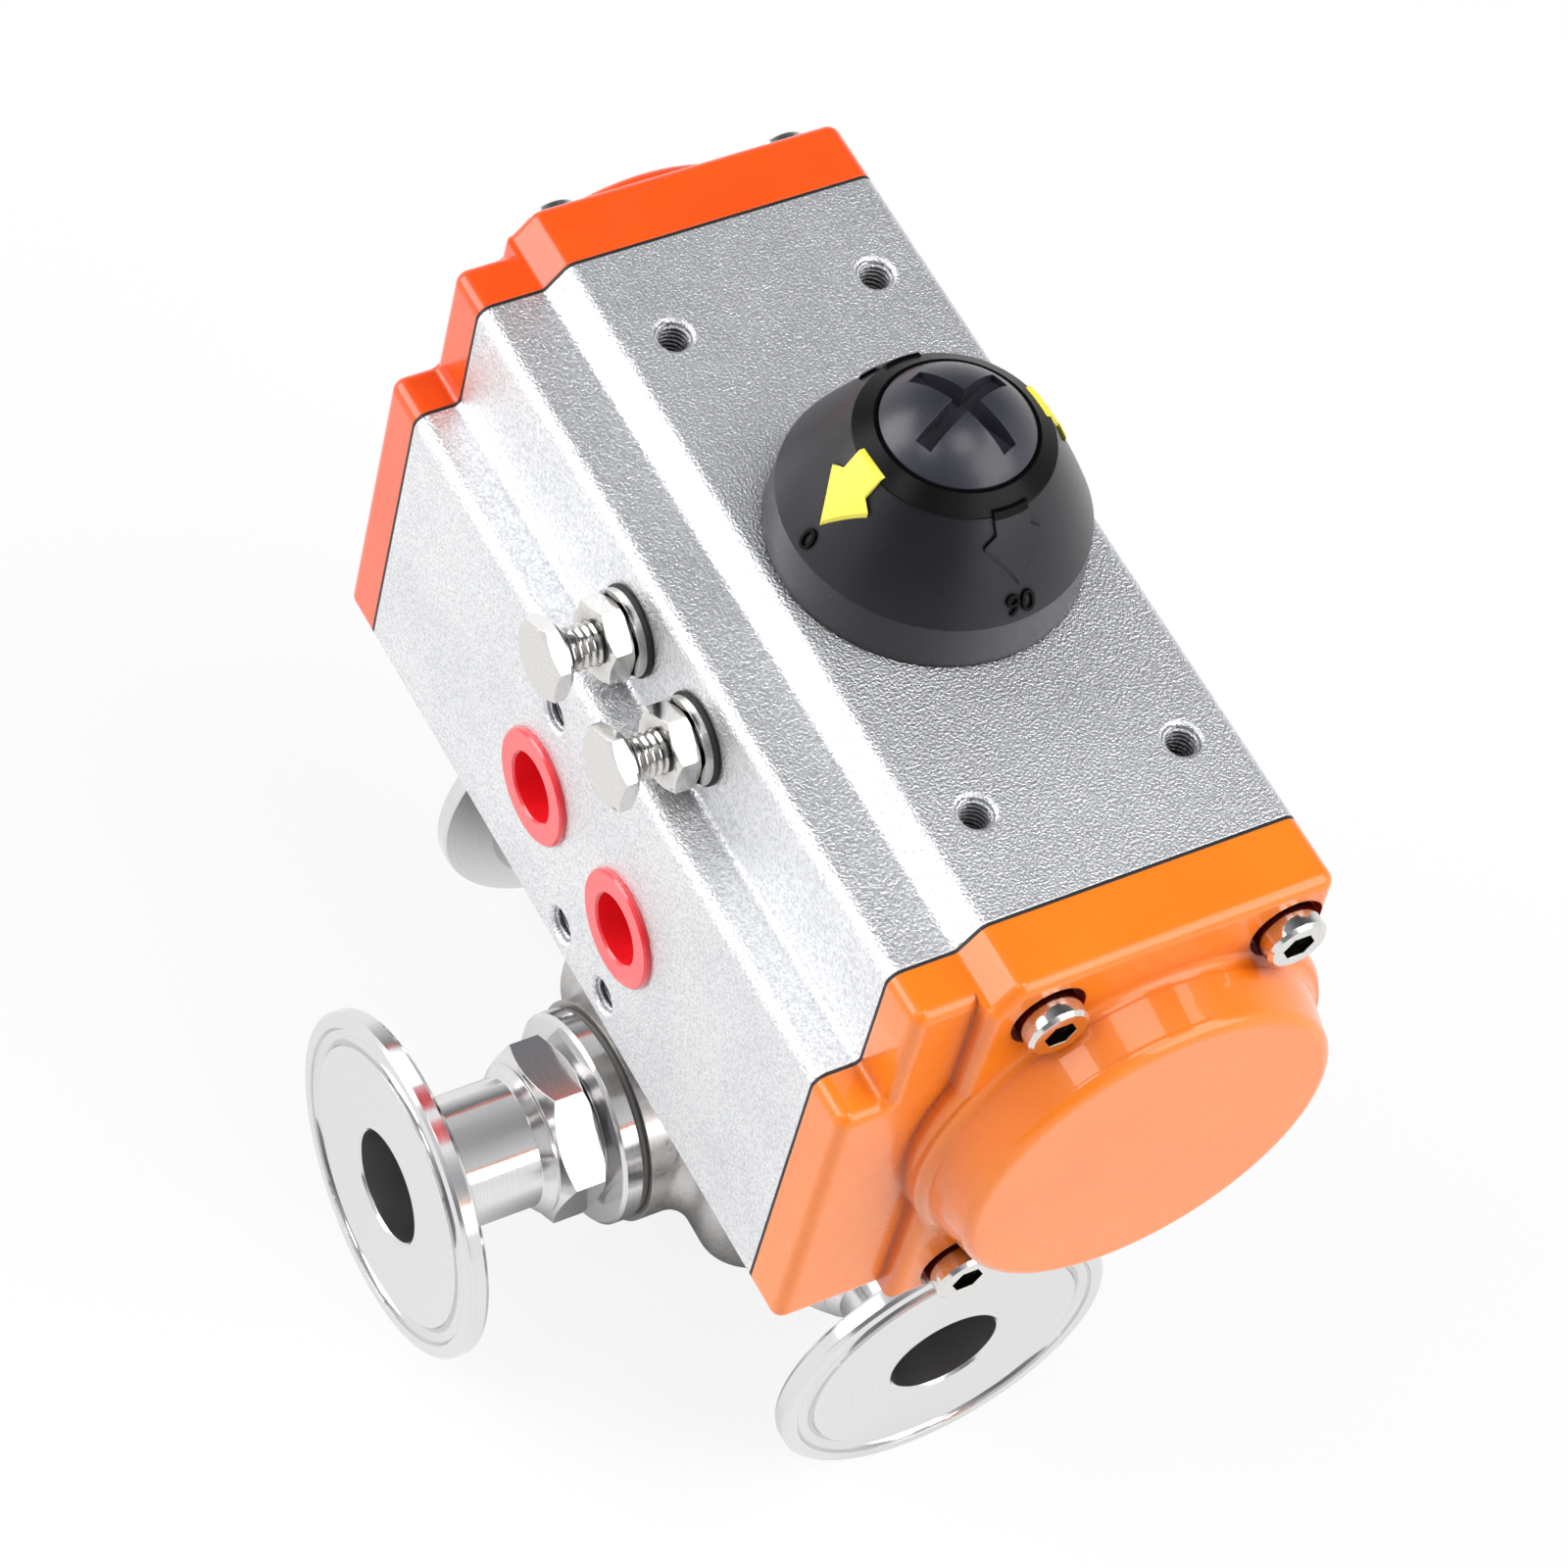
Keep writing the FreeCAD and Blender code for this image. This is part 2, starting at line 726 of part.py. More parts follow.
def rack_teeth():
    """Make the teeth of the right piston's rack, which looks toward +Y."""
    slope = math.tan(math.radians(pressure_angle))
    half = (math.pi * gear_module / 2.0 - tooth_backlash) / 2.0
    pitch = math.pi * gear_module
    root = pitch_radius + rack_dedendum
    tip = pitch_radius - rack_addendum
    low, high = cylinder_height - rack_half_height, cylinder_height + rack_half_height
    teeth = []
    for i in range(first_rack_tooth, last_rack_tooth + 1):
        x = pitch * i
        at_root = half + slope * rack_dedendum
        at_tip = half - slope * rack_addendum
        buried = -(root + overshoot)
        outline = [
            (x - at_root, buried),
            (x + at_root, buried),
            (x + at_root, -root),
            (x + at_tip, -tip),
            (x - at_tip, -tip),
            (x - at_root, -root),
        ]
        teeth.append(prism(outline, "z", low, high))
    return teeth


def piston():
    """Make the right piston: a grooved head with a rack on its -Y side."""
    outer_face = piston_inner_face + piston_thickness
    head = rod(cylinder_radius - piston_clearance, piston_inner_face, outer_face, "x", cylinder_at)
    rack_back_radius = cylinder_radius - rack_back_clearance
    root = pitch_radius + rack_dedendum
    low, high = cylinder_height - rack_half_height, cylinder_height + rack_half_height
    beam = block((rack_inner_end, piston_inner_face + overshoot), (-cylinder_radius, -root), (low, high))
    beam = beam.common(rod(rack_back_radius, rack_inner_end, outer_face, "x", cylinder_at))
    shape = union([head, beam] + rack_teeth())
    ring_x = piston_inner_face + piston_ring_offset
    ring_floor = cylinder_radius - free_clearance - 2 * piston_ring_radius - running_clearance
    guide_start = piston_inner_face + guide_ring_offset
    guide_floor = cylinder_radius - free_clearance - guide_ring_thickness - running_clearance
    half_groove = piston_ring_radius + running_clearance
    cutters = [
        ring(
            ring_floor,
            cylinder_radius + overshoot,
            ring_x - half_groove,
            ring_x + half_groove,
            "x",
            cylinder_at,
        ),
        ring(
            guide_floor,
            cylinder_radius + overshoot,
            guide_start - running_clearance,
            guide_start + guide_ring_width + running_clearance,
            "x",
            cylinder_at,
        ),
        rod(piston_recess_radius, outer_face - piston_recess_depth, outer_face, "x", cylinder_at),
        rack_pad_space(running_clearance),
    ]
    return shape.cut(cutters)


def rack_pad_space(around):
    """Make the curved space of the rack pad, grown by a clearance."""
    outer = cylinder_radius - free_clearance + around
    inner = cylinder_radius - free_clearance - rack_pad_thickness - around
    start, end = rack_pad_start - around, rack_pad_end + around
    shell = ring(inner, outer, start, end, "x", cylinder_at)
    half = rack_pad_half_height + around
    height = (cylinder_height - half, cylinder_height + half)
    return shell.common(block((start, end), (-cylinder_radius, 0), height))


def piston_ring():
    ring_x = piston_inner_face + piston_ring_offset
    ring_radius = cylinder_radius - free_clearance - piston_ring_radius
    return torus(ring_radius, piston_ring_radius, ring_x, "x", cylinder_at)


def guide_ring():
    start = piston_inner_face + guide_ring_offset
    outer = cylinder_radius - free_clearance
    return ring(outer - guide_ring_thickness, outer, start, start + guide_ring_width, "x", cylinder_at)


# Drive shaft, bearings and seals


def shaft_ring_floor(hole_radius, cord_radius):
    """Return the groove floor radius of an O-ring that seals against a hole."""
    return hole_radius - free_clearance - 2 * cord_radius - running_clearance


def drive_pinion():
    lower_half = lower_ring_cord_radius + free_clearance
    upper_half = upper_ring_cord_radius + free_clearance
    lower_floor = shaft_ring_floor(lower_hole_radius, lower_ring_cord_radius)
    upper_floor = shaft_ring_floor(upper_hole_radius, upper_ring_cord_radius)
    clip_floor = upper_journal_radius - circlip_groove_depth
    clip_low, clip_high = circlip_bottom - running_clearance, circlip_top + running_clearance
    outline = [
        (shaft_bottom, 0),
        (shaft_bottom, lower_journal_radius),
        (lower_ring_height - lower_half, lower_journal_radius),
        (lower_ring_height - lower_half, lower_floor),
        (lower_ring_height + lower_half, lower_floor),
        (lower_ring_height + lower_half, lower_journal_radius),
        (gear_bottom, lower_journal_radius),
        (gear_bottom, pitch_radius - gear_dedendum),
        (gear_top, pitch_radius - gear_dedendum),
        (gear_top, lower_journal_radius),
        (cam_bottom, lower_journal_radius),
        (cam_bottom, upper_journal_radius),
        (upper_ring_height - upper_half, upper_journal_radius),
        (upper_ring_height - upper_half, upper_floor),
        (upper_ring_height + upper_half, upper_floor),
        (upper_ring_height + upper_half, upper_journal_radius),
        (clip_low, upper_journal_radius),
        (clip_low, clip_floor),
        (clip_high, clip_floor),
        (clip_high, upper_journal_radius),
        (shaft_top_start, upper_journal_radius),
        (shaft_top_start, shaft_top_radius),
        (shaft_top, shaft_top_radius),
        (shaft_top, 0),
    ]
    shaft = union([turned(outline, "z"), gear()])
    half_square = drive_square / 2.0
    reach = lower_journal_radius
    half_flats = shaft_top_flats / 2.0
    cutters = [
        block(
            (-half_square, half_square),
            (-half_square, half_square),
            (shaft_bottom, shaft_bottom + drive_square_depth),
        ),
        rod(indicator_screw_radius + running_clearance, indicator_screw_end - hole_spare, shaft_top),
    ]
    for side in (-1, 1):
        y_top = sorted((side * half_flats, side * reach))
        flat = block((-reach, reach), y_top, (shaft_top_start, shaft_top))
        cutters.append(rotate_z(flat, indicator_turn))
        y_cam = sorted((side * cam_key_flat, side * reach))
        cutters.append(block((-reach, reach), y_cam, (cam_bottom, cam_top)))
    return shaft.cut(cutters)


def bearing(journal_radius, hole_radius, bottom, height):
    outer = hole_radius - running_clearance
    return ring(journal_radius + running_clearance, outer, bottom, bottom + height)


def shaft_ring(hole_radius, cord_radius, height):
    return torus(hole_radius - free_clearance - cord_radius, cord_radius, height, "z")


def stop_cam():
    disc = rod(cam_radius, cam_bottom, cam_top)
    far = cam_radius + overshoot
    height = (cam_bottom, cam_top)
    lobe = disc.common(block((-cam_flat, far), (-cam_flat, far), height))
    corner_cut = cam_hub_radius * math.sqrt(2.0)
    outside = [(-corner_cut, 0), (-far * 2, 0), (-far * 2, -far * 2), (0, -far * 2), (0, -corner_cut)]
    lobe = lobe.cut(prism(outside, "z", cam_bottom, cam_top))
    cam = union([lobe, rod(cam_hub_radius, cam_bottom, cam_top)])
    bore = rod(upper_journal_radius + running_clearance, cam_bottom, cam_top)
    key = cam_key_flat + running_clearance
    reach = cam_hub_radius
    return cam.cut(bore.common(block((-reach, reach), (-key, key), height)))


def washer(bottom, thickness):
    inner = upper_journal_radius + free_clearance
    return ring(inner, washer_radius, bottom, bottom + thickness)


def circlip():
    inner = upper_journal_radius - circlip_groove_depth + running_clearance
    clip = ring(inner, circlip_radius, circlip_bottom, circlip_top)
    half = circlip_opening / 2.0
    return clip.cut(block((0, circlip_radius + overshoot), (-half, half), (circlip_bottom, circlip_top)))


# Stop bolts


def thread(radius, depth, pitch, start, end, axis, at):
    """Make a threaded rod as a row of round ridges between two positions."""
    low, high = min(start, end), max(start, end)
    count = max(int((high - low) / pitch), 1)
    step = (high - low) / count
    crest_start = step * (1.0 - thread_crest_share) / 2.0
    crest_end = step - crest_start
    outline = [(low, 0)]
    for i in range(count):
        base = low + i * step
        outline += [(base, radius - depth), (base + crest_start, radius), (base + crest_end, radius)]
    outline += [(high, radius - depth), (high, 0)]
    return turned(outline, axis, at)


def stop_bolt(side):
    at = (side * stop_bolt_x, stop_height)
    head_back = stop_bolt_face + stop_bolt_head_height
    head = hexagon(stop_bolt_head_flats, stop_bolt_face, head_back, "y", at, 30.0, nut_face_share)
    collar = rod(stop_bolt_collar_radius, head_back, head_back + stop_bolt_collar_height, "y", at)
    visible = thread(
        stop_bolt_radius, stop_bolt_thread_depth, stop_bolt_pitch, head_back, step_face, "y", at
    )
    hidden = rod(stop_bolt_radius, step_face, stop_tip, "y", at)
    return union([head, collar, visible, hidden])


def stop_stack():
    """Return the positions on Y of the sealing ring, washer and lock nut under each stop bolt."""
    ring_front = step_face - stop_ring_thickness
    washer_front = ring_front - stop_washer_thickness
    return ring_front, washer_front, washer_front - stop_nut_height


def stop_nuts():
    ring_front, washer_front, nut_front = stop_stack()
    nuts = []
    for side in (-1, 1):
        at = (side * stop_bolt_x, stop_height)
        nut = hexagon(stop_nut_flats, washer_front, nut_front, "y", at, 30.0, nut_face_share)
        nuts.append(nut.cut(rod(stop_bolt_radius + running_clearance, washer_front, nut_front, "y", at)))
    return nuts


def stop_washers():
    ring_front, washer_front, nut_front = stop_stack()
    inner = stop_bolt_radius + free_clearance
    return [
        ring(inner, stop_washer_radius, ring_front, washer_front, "y", (side * stop_bolt_x, stop_height))
        for side in (-1, 1)
    ]


def stop_rings():
    ring_front = stop_stack()[0]
    middle = (step_face + ring_front) / 2.0
    flat_radius = stop_ring_radius - stop_ring_bulge
    inner = stop_bolt_radius + free_clearance
    outline = [
        (step_face, inner),
        (step_face, flat_radius),
        (middle, stop_ring_radius),
        (ring_front, flat_radius),
        (ring_front, inner),
    ]
    return [turned(outline, "y", (side * stop_bolt_x, stop_height)) for side in (-1, 1)]


# Port plugs and indicator


def port_plug(at):
    tube = air_port_radius - plug_clearance
    bore = tube - plug_wall
    face = port_face - plug_flange_thickness
    tip = port_face + plug_length
    edge = plug_rim_bevel
    outline = [
        (tip, 0),
        (tip, tube - plug_tip_taper),
        (tip - plug_tip_taper_length, tube),
        (port_face, tube),
        (port_face, plug_flange_radius),
        (face + edge, plug_flange_radius),
        (face, plug_flange_radius - edge),
        (face, bore + edge),
        (face + edge, bore),
        (tip - plug_bottom_thickness, bore),
        (tip - plug_bottom_thickness, 0),
    ]
    return turned(outline, "y", at)


def indicator_shell(lift=0.0):
    """Make the solid under the indicator's skirt and sloping side, lifted by a distance."""
    foot = V(indicator_base_radius, 0, indicator_base)
    shoulder = V(indicator_shoulder_radius, 0, indicator_shoulder)
    belly = V(indicator_belly_radius, 0, indicator_belly_height)
    neck = V(indicator_neck_radius, 0, indicator_neck_height)
    low, high = V(0, 0, indicator_base), V(0, 0, indicator_neck_height)
    edges = [
        Part.LineSegment(low, foot),
        Part.LineSegment(foot, shoulder),
        Part.Arc(shoulder, belly, neck),
        Part.LineSegment(neck, high),
        Part.LineSegment(high, low),
    ]
    face = Part.Face(Part.Wire([edge.toShape() for edge in edges]))
    shell = face.revolve(CENTRE, AXES["z"], 360)
    shell.translate(V(0, 0, lift))
    return shell


def arrow_prism(turn):
    """Make an upright prism of the arrow's plan, pointing out along +X before it is turned."""
    barb = arrow_head_start + arrow_barb_reach
    outline = [
        (arrow_tail_start, -arrow_tail_half_width),
        (arrow_head_start, -arrow_tail_half_width),
        (barb, -arrow_head_half_width),
        (arrow_tip, 0),
        (barb, arrow_head_half_width),
        (arrow_head_start, arrow_tail_half_width),
        (arrow_tail_start, arrow_tail_half_width),
    ]
    return rotate_z(prism(outline, "z", indicator_shoulder, indicator_bevel_top), turn)


def indicator_cap():
    """Make the black cap with two raised arrows on X and two recessed ones on Y."""
    ring_start = indicator_neck_height - overshoot
    top_ring = turned(
        [
            (ring_start, 0),
            (ring_start, indicator_neck_radius),
            (indicator_ring_top, indicator_neck_radius),
            (indicator_bevel_top, indicator_bevel_radius),
            (indicator_bevel_top, 0),
        ],
        "z",
    )
    lifted = indicator_shell(black_arrow_lift)
    raised = [arrow_prism(turn).common(lifted) for turn in (0, 180)]
    shape = union([indicator_shell(), top_ring] + raised)
    hub = rod(indicator_hub_radius, shaft_top_start + open_gap, shaft_top)
    hollow = rod(indicator_base_radius - indicator_skirt_wall, indicator_base, shaft_top)
    hollow = hollow.common(indicator_shell(-indicator_roof_height)).cut(hub)
    top_space = shaft_top + free_clearance
    bore = rod(shaft_top_radius + running_clearance, shaft_top_start, top_space)
    half_flats = shaft_top_flats / 2.0 + running_clearance
    reach = shaft_top_radius + overshoot
    bore = bore.common(block((-reach, reach), (-half_flats, half_flats), (shaft_top_start, top_space)))
    head_seat = indicator_head_bottom - running_clearance
    cutters = [
        hollow,
        bore,
        rod(indicator_screw_radius + free_clearance, shaft_top, indicator_bevel_top),
        rod(indicator_head_radius + free_clearance, head_seat, indicator_bevel_top),
    ]
    floor = indicator_shell(-yellow_arrow_depth)
    cutters += [arrow_prism(turn).cut(floor) for turn in (90, 270)]
    return rotate_z(shape.cut(cutters), indicator_turn)


def indicator_arrows():
    """Make the two yellow arrows that fill the recesses over port C and over the blank side."""
    layer = indicator_shell(yellow_arrow_lift).cut(indicator_shell(-yellow_arrow_depth))
    return [arrow_prism(turn + indicator_turn).common(layer) for turn in (90, 270)]


def indicator_screw():
    """Make the domed screw that holds the indicator, with a cross recess for a coin or driver."""
    chord = indicator_head_radius
    rise = indicator_dome_height
    dome_radius = (chord**2 + rise**2) / (2.0 * rise)
    sphere = Part.makeSphere(dome_radius, V(0, 0, indicator_dome_top - dome_radius))
    straight = rod(chord, indicator_head_bottom, indicator_head_edge)
    dome = sphere.common(rod(chord, indicator_head_edge, indicator_dome_top))
    shank = rod(indicator_screw_radius, indicator_screw_end, indicator_head_bottom)
    screw = union([straight, dome, shank])
    half_length = indicator_cross_length / 2.0
    half_width = indicator_cross_width / 2.0
    height = (indicator_dome_top - indicator_cross_depth, indicator_dome_top)
    arm = block((-half_length, half_length), (-half_width, half_width), height)
    cross_turn = indicator_turn + indicator_cross_turn
    return screw.cut([rotate_z(arm, cross_turn), rotate_z(arm, cross_turn + 90)])


# Valve body, ball and stem


def valve_body():
    reach = seat_back + running_clearance
    core = rod(body_core_radius, -body_core_half_length, body_core_half_length, "x")
    core = core.makeFillet(body_core_round, [e for e in core.Edges if isinstance(e.Curve, Part.Circle)])
    branch = core.fuse(rod(neck_radius, -neck_end, 0.0, "y"))
    meeting = [e for e in branch.Edges if not isinstance(e.Curve, (Part.Circle, Part.Line))]
    branch = branch.makeFillet(neck_root_round, meeting)
    run = rod(neck_radius, -neck_end, neck_end, "x")
    bonnet = rod(bonnet_radius, 0.0, actuator_bottom)
    half = pad_half_width
    pad = block((-half, half), (-half, half), (pad_bottom, actuator_bottom))
    upright = [e for e in pad.Edges if e.BoundBox.ZLength > in_plane]
    pad = pad.makeFillet(pad_corner_radius, upright)
    spigot = rod(spigot_radius, actuator_bottom, actuator_bottom + spigot_height)
    shape = union([branch, run, bonnet, pad, spigot])
    cutters = [
        Part.makeSphere(ball_radius + open_gap),
        rod(seat_radius + running_clearance, -reach, reach, "x"),
        rod(seat_radius + running_clearance, -reach, reach, "y"),
        rod(neck_thread_radius, reach, neck_end, "x"),
        rod(neck_thread_radius, -neck_end, -reach, "x"),
        rod(neck_thread_radius, -neck_end, -reach, "y"),
        rod(stem_shoulder_radius + open_gap, 0.0, thrust_ledge),
        rod(stem_radius + free_clearance, 0.0, nut_chamber_bottom),
        rod(packing_radius + running_clearance, packing_bottom, nut_chamber_bottom),
        rod(nut_chamber_radius, nut_chamber_bottom, actuator_bottom + spigot_height),
    ]
    for at in flange_places:
        cutters.append(rod(flange_bolt_radius + open_gap, pad_bottom, actuator_bottom, "z", at))
    return shape.cut(cutters)


def end_connector(face):
    """Make an end connector along +X with its ferrule face at a distance from the ball's centre."""
    seat_end = seat_back + 2 * running_clearance
    collar_start = neck_end + body_seal_thickness
    collar_end = collar_start + collar_length
    hexagon_end = collar_end + hexagon_length
    rim_back = face - ferrule_rim_thickness
    cone_rise = ferrule_cone_width * math.tan(math.radians(ferrule_back_angle))
    cone_radius_inner = ferrule_radius - ferrule_cone_width
    cone_back = rim_back - cone_rise
    body = turned(
        [
            (seat_end, 0),
            (seat_end, neck_thread_radius - running_clearance),
            (collar_start, neck_thread_radius - running_clearance),
            (collar_start, collar_radius - collar_bevel),
            (collar_start + collar_bevel, collar_radius),
            (collar_end - collar_bevel, collar_radius),
            (collar_end, collar_radius - collar_bevel),
            (collar_end, tube_radius),
            (hexagon_end, tube_radius + tube_flare),
            (hexagon_end + tube_flare, tube_radius),
            (cone_back - tube_flare, tube_radius),
            (cone_back, tube_radius + tube_flare),
            (cone_back, cone_radius_inner),
            (rim_back, ferrule_radius - ferrule_edge_round / 2.0),
            (rim_back + ferrule_edge_round, ferrule_radius),
            (face - ferrule_edge_round, ferrule_radius),
            (face, ferrule_radius - ferrule_edge_round),
            (face, 0),
        ],
        "x",
    )
    nut = hexagon(
        hexagon_across_flats, collar_end, hexagon_end, "x", (0.0, 0.0), hexagon_turn, hexagon_face_share
    )
    shape = union([body, nut])
    narrow = ball_bore_radius + open_gap
    bore = turned(
        [
            (seat_end, 0),
            (seat_end, narrow),
            (neck_end - bore_taper_length, narrow),
            (neck_end, port_bore_radius),
            (face - port_edge_chamfer, port_bore_radius),
            (face, port_bore_radius + port_edge_chamfer),
            (face, 0),
        ],
        "x",
    )
    groove = torus(gasket_groove_radius, gasket_groove_half_width, face, "x")
    return shape.cut([bore, groove])


def body_seal():
    """Make the seal ring between the neck and the connector's collar, along +X."""
    inner = neck_thread_radius + running_clearance
    outer = inner + body_seal_width
    return ring(inner, outer, neck_end, neck_end + body_seal_thickness, "x")


def ball():
    shape = Part.makeSphere(ball_radius)
    slot_bottom = ball_radius - ball_slot_depth
    half = ball_slot_width / 2.0
    far = ball_radius + overshoot
    cutters = [
        rod(ball_bore_radius, -far, far, "x"),
        rod(ball_branch_radius, -far, 0.0, "y"),
        block((-half, half), (-far, far), (slot_bottom, far)),
    ]
    return shape.cut(cutters)


def ball_seat():
    """Make the seat on the +X side."""
    contact = ball_radius + running_clearance
    inside = contact / 2.0
    angle = math.radians(seat_front_half_angle)
    front_x, front_r = contact * math.cos(angle), contact * math.sin(angle)
    bore = ball_bore_radius + open_gap
    rise = seat_radius - front_r
    outline = [
        (inside, bore),
        (seat_back, bore),
        (seat_back, seat_radius),
        (front_x + rise, seat_radius),
        (front_x, front_r),
        (inside, front_r),
    ]
    return turned(outline, "x").cut(Part.makeSphere(contact))


def stem():
    half_ring = stem_ring_cord_radius + free_clearance
    square_start = actuator_bottom - stem_square_start_below_pad
    top = shaft_bottom + stem_square_engagement
    shoulder = stem_shoulder_radius
    outline = [
        (shoulder_bottom, 0),
        (shoulder_bottom, shoulder),
        (shoulder_top, shoulder),
        (shoulder_top, stem_radius),
        (stem_ring_height - half_ring, stem_radius),
        (stem_ring_height - half_ring, stem_ring_floor),
        (stem_ring_height + half_ring, stem_ring_floor),
        (stem_ring_height + half_ring, stem_radius),
        (top, stem_radius),
        (top, 0),
    ]
    shape = turned(outline, "z")
    tang_bottom = ball_radius - ball_slot_depth + open_gap
    half_tang = stem_tang_width / 2.0
    tang = rod(stem_radius, tang_bottom, shoulder_bottom).common(
        block((-half_tang, half_tang), (-stem_radius, stem_radius), (tang_bottom, shoulder_bottom))
    )
    shape = union([shape, tang])
    half_square = drive_square / 2.0 - running_clearance
    flats = block((-half_square, half_square), (-half_square, half_square), (square_start, top))
    waste = rod(stem_radius + overshoot, square_start, top).cut(flats)
    return shape.cut(waste)


def stem_ring():
    ring_radius = stem_radius + running_clearance - stem_ring_cord_radius
    return torus(ring_radius, stem_ring_cord_radius, stem_ring_height, "z")


def thrust_seal():
    inner = stem_radius + free_clearance
    top = thrust_seal_bottom + thrust_seal_thickness
    return ring(inner, stem_shoulder_radius, thrust_seal_bottom, top)


def stem_packing():
    """Make the chevron rings of the stem packing."""
    inner = stem_radius + free_clearance
    outer = packing_radius
    middle = (inner + outer) / 2.0
    rise = packing_chevron_rise
    step = packing_height / packing_rings
    rings = []
    for i in range(packing_rings):
        low = packing_bottom + running_clearance + i * step
        high = low + step - running_clearance
        if i == 0:
            bottom = [(low, inner), (low, outer)]
        else:
            bottom = [(low, inner), (low + rise, middle), (low, outer)]
        if i == packing_rings - 1:
            top = [(high, outer), (high, inner)]
        else:
            top = [(high, outer), (high + rise, middle), (high, inner)]
        rings.append(turned(bottom + top, "z"))
    return rings


def gland_ring():
    inner = stem_radius + free_clearance
    return ring(inner, packing_radius, gland_bottom, gland_bottom + gland_height)


def disc_springs():
    inner = stem_radius + free_clearance
    springs = []
    for i in range(2):
        near, far = (0.0, disc_spring_rise) if i == 0 else (disc_spring_rise, 0.0)
        base = spring_bottom + i * spring_step
        outline = [
            (base + far, inner),
            (base + near, disc_spring_radius),
            (base + near + disc_spring_thickness, disc_spring_radius),
            (base + far + disc_spring_thickness, inner),
        ]
        springs.append(turned(outline, "z"))
    return springs


def gland_nut():
    top = gland_nut_bottom + gland_nut_height
    nut = hexagon(gland_nut_across_flats, gland_nut_bottom, top, "z", (0.0, 0.0), 0.0, nut_face_share)
    return nut.cut(rod(stem_radius + running_clearance, gland_nut_bottom, top))


def flange_bolts():
    return [
        socket_screw(
            flange_bolt_radius,
            flange_bolt_head_radius,
            flange_bolt_head_height,
            flange_bolt_length,
            flange_bolt_seat,
            "z",
            at,
            -1,
        )
        for at in flange_places
    ]


def flange_washers():
    inner = flange_bolt_radius + free_clearance
    outer = flange_bolt_head_radius
    return [ring(inner, outer, flange_bolt_seat, pad_bottom, "z", at) for at in flange_places]


def main():
    os.makedirs("parts", exist_ok=True)
    export("actuator_body", actuator_body())
    cap = end_cap()
    gasket = cap_gasket()
    export("end_cap_right", cap)
    export("end_cap_left", mirrored_x(cap))
    export("cap_gasket_right", gasket)
    export("cap_gasket_left", mirrored_x(gasket))
    export("cap_screws", cap_screws())
    right_side = {
        "piston": piston(),
        "piston_ring": piston_ring(),
        "guide_ring": guide_ring(),
        "rack_pad": rack_pad_space(0.0),
    }
    for name, shape in right_side.items():
        export(name + "_right", shape)
        export(name + "_left", rotate_z(shape, 180))
    export("drive_pinion", drive_pinion())
    export("lower_bearing", bearing(lower_journal_radius, lower_hole_radius, lower_bearing_bottom,
                                    lower_bearing_height))
    export("upper_bearing", bearing(upper_journal_radius, upper_hole_radius,
                                    cam_pocket_top, upper_bearing_height))
    export("lower_shaft_ring", shaft_ring(lower_hole_radius, lower_ring_cord_radius, lower_ring_height))
    export("upper_shaft_ring", shaft_ring(upper_hole_radius, upper_ring_cord_radius, upper_ring_height))
    export("stop_cam", stop_cam())
    inner_washer_bottom = cam_top + running_clearance
    export("inner_thrust_washer", washer(inner_washer_bottom, inner_washer_thickness))
    export("outer_thrust_washer", washer(actuator_top, outer_washer_thickness))
    export("spacer_ring", washer(spacer_bottom, spacer_thickness))
    export("circlip", circlip())
    export("stop_bolt_left", stop_bolt(-1))
    export("stop_bolt_right", stop_bolt(1))
    export("stop_lock_nuts", stop_nuts())
    export("stop_washers", stop_washers())
    export("stop_seal_rings", stop_rings())
    export("port_plug_left", port_plug(air_port_places[0]))
    export("port_plug_right", port_plug(air_port_places[1]))
    export("indicator_cap", indicator_cap())
    export("indicator_arrows", indicator_arrows())
    export("indicator_screw", indicator_screw())
    export("valve_body", valve_body())
    run_connector = end_connector(run_port_face)
    branch_connector = end_connector(branch_port_face)
    export("end_connector_b", run_connector)
    export("end_connector_a", rotate_z(run_connector, 180))
    export("end_connector_c", rotate_z(branch_connector, -90))
    seal = body_seal()
    export("body_seals", [rotate_z(seal, turn) for turn in (0, 180, -90)])
    export("ball", ball())
    seat = ball_seat()
    export("ball_seats", [rotate_z(seat, turn) for turn in (0, 90, 180, 270)])
    export("stem", stem())
    export("stem_thrust_seal", thrust_seal())
    export("stem_ring", stem_ring())
    export("stem_packing", stem_packing())
    export("gland_ring", gland_ring())
    export("disc_springs", disc_springs())
    export("gland_nut", gland_nut())
    export("flange_bolts", flange_bolts())
    export("flange_washers", flange_washers())


main()
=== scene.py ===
# %% [markdown]
# # A three-way ball valve under a rack-and-pinion actuator
# The real object is a stainless steel valve with three clamp ends, bolted under an extruded
# aluminium actuator with orange end caps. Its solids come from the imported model, already in
# place and in metres. This lesson gives each of them the finish that the real metal, paint or
# plastic has, and adds what is too fine for the solids: the threads in the tapped holes and the
# numbers on the dial.

import json
import math

import bmesh
import bpy
from mathutils import Matrix, Quaternion, Vector
from mathutils.bvhtree import BVHTree


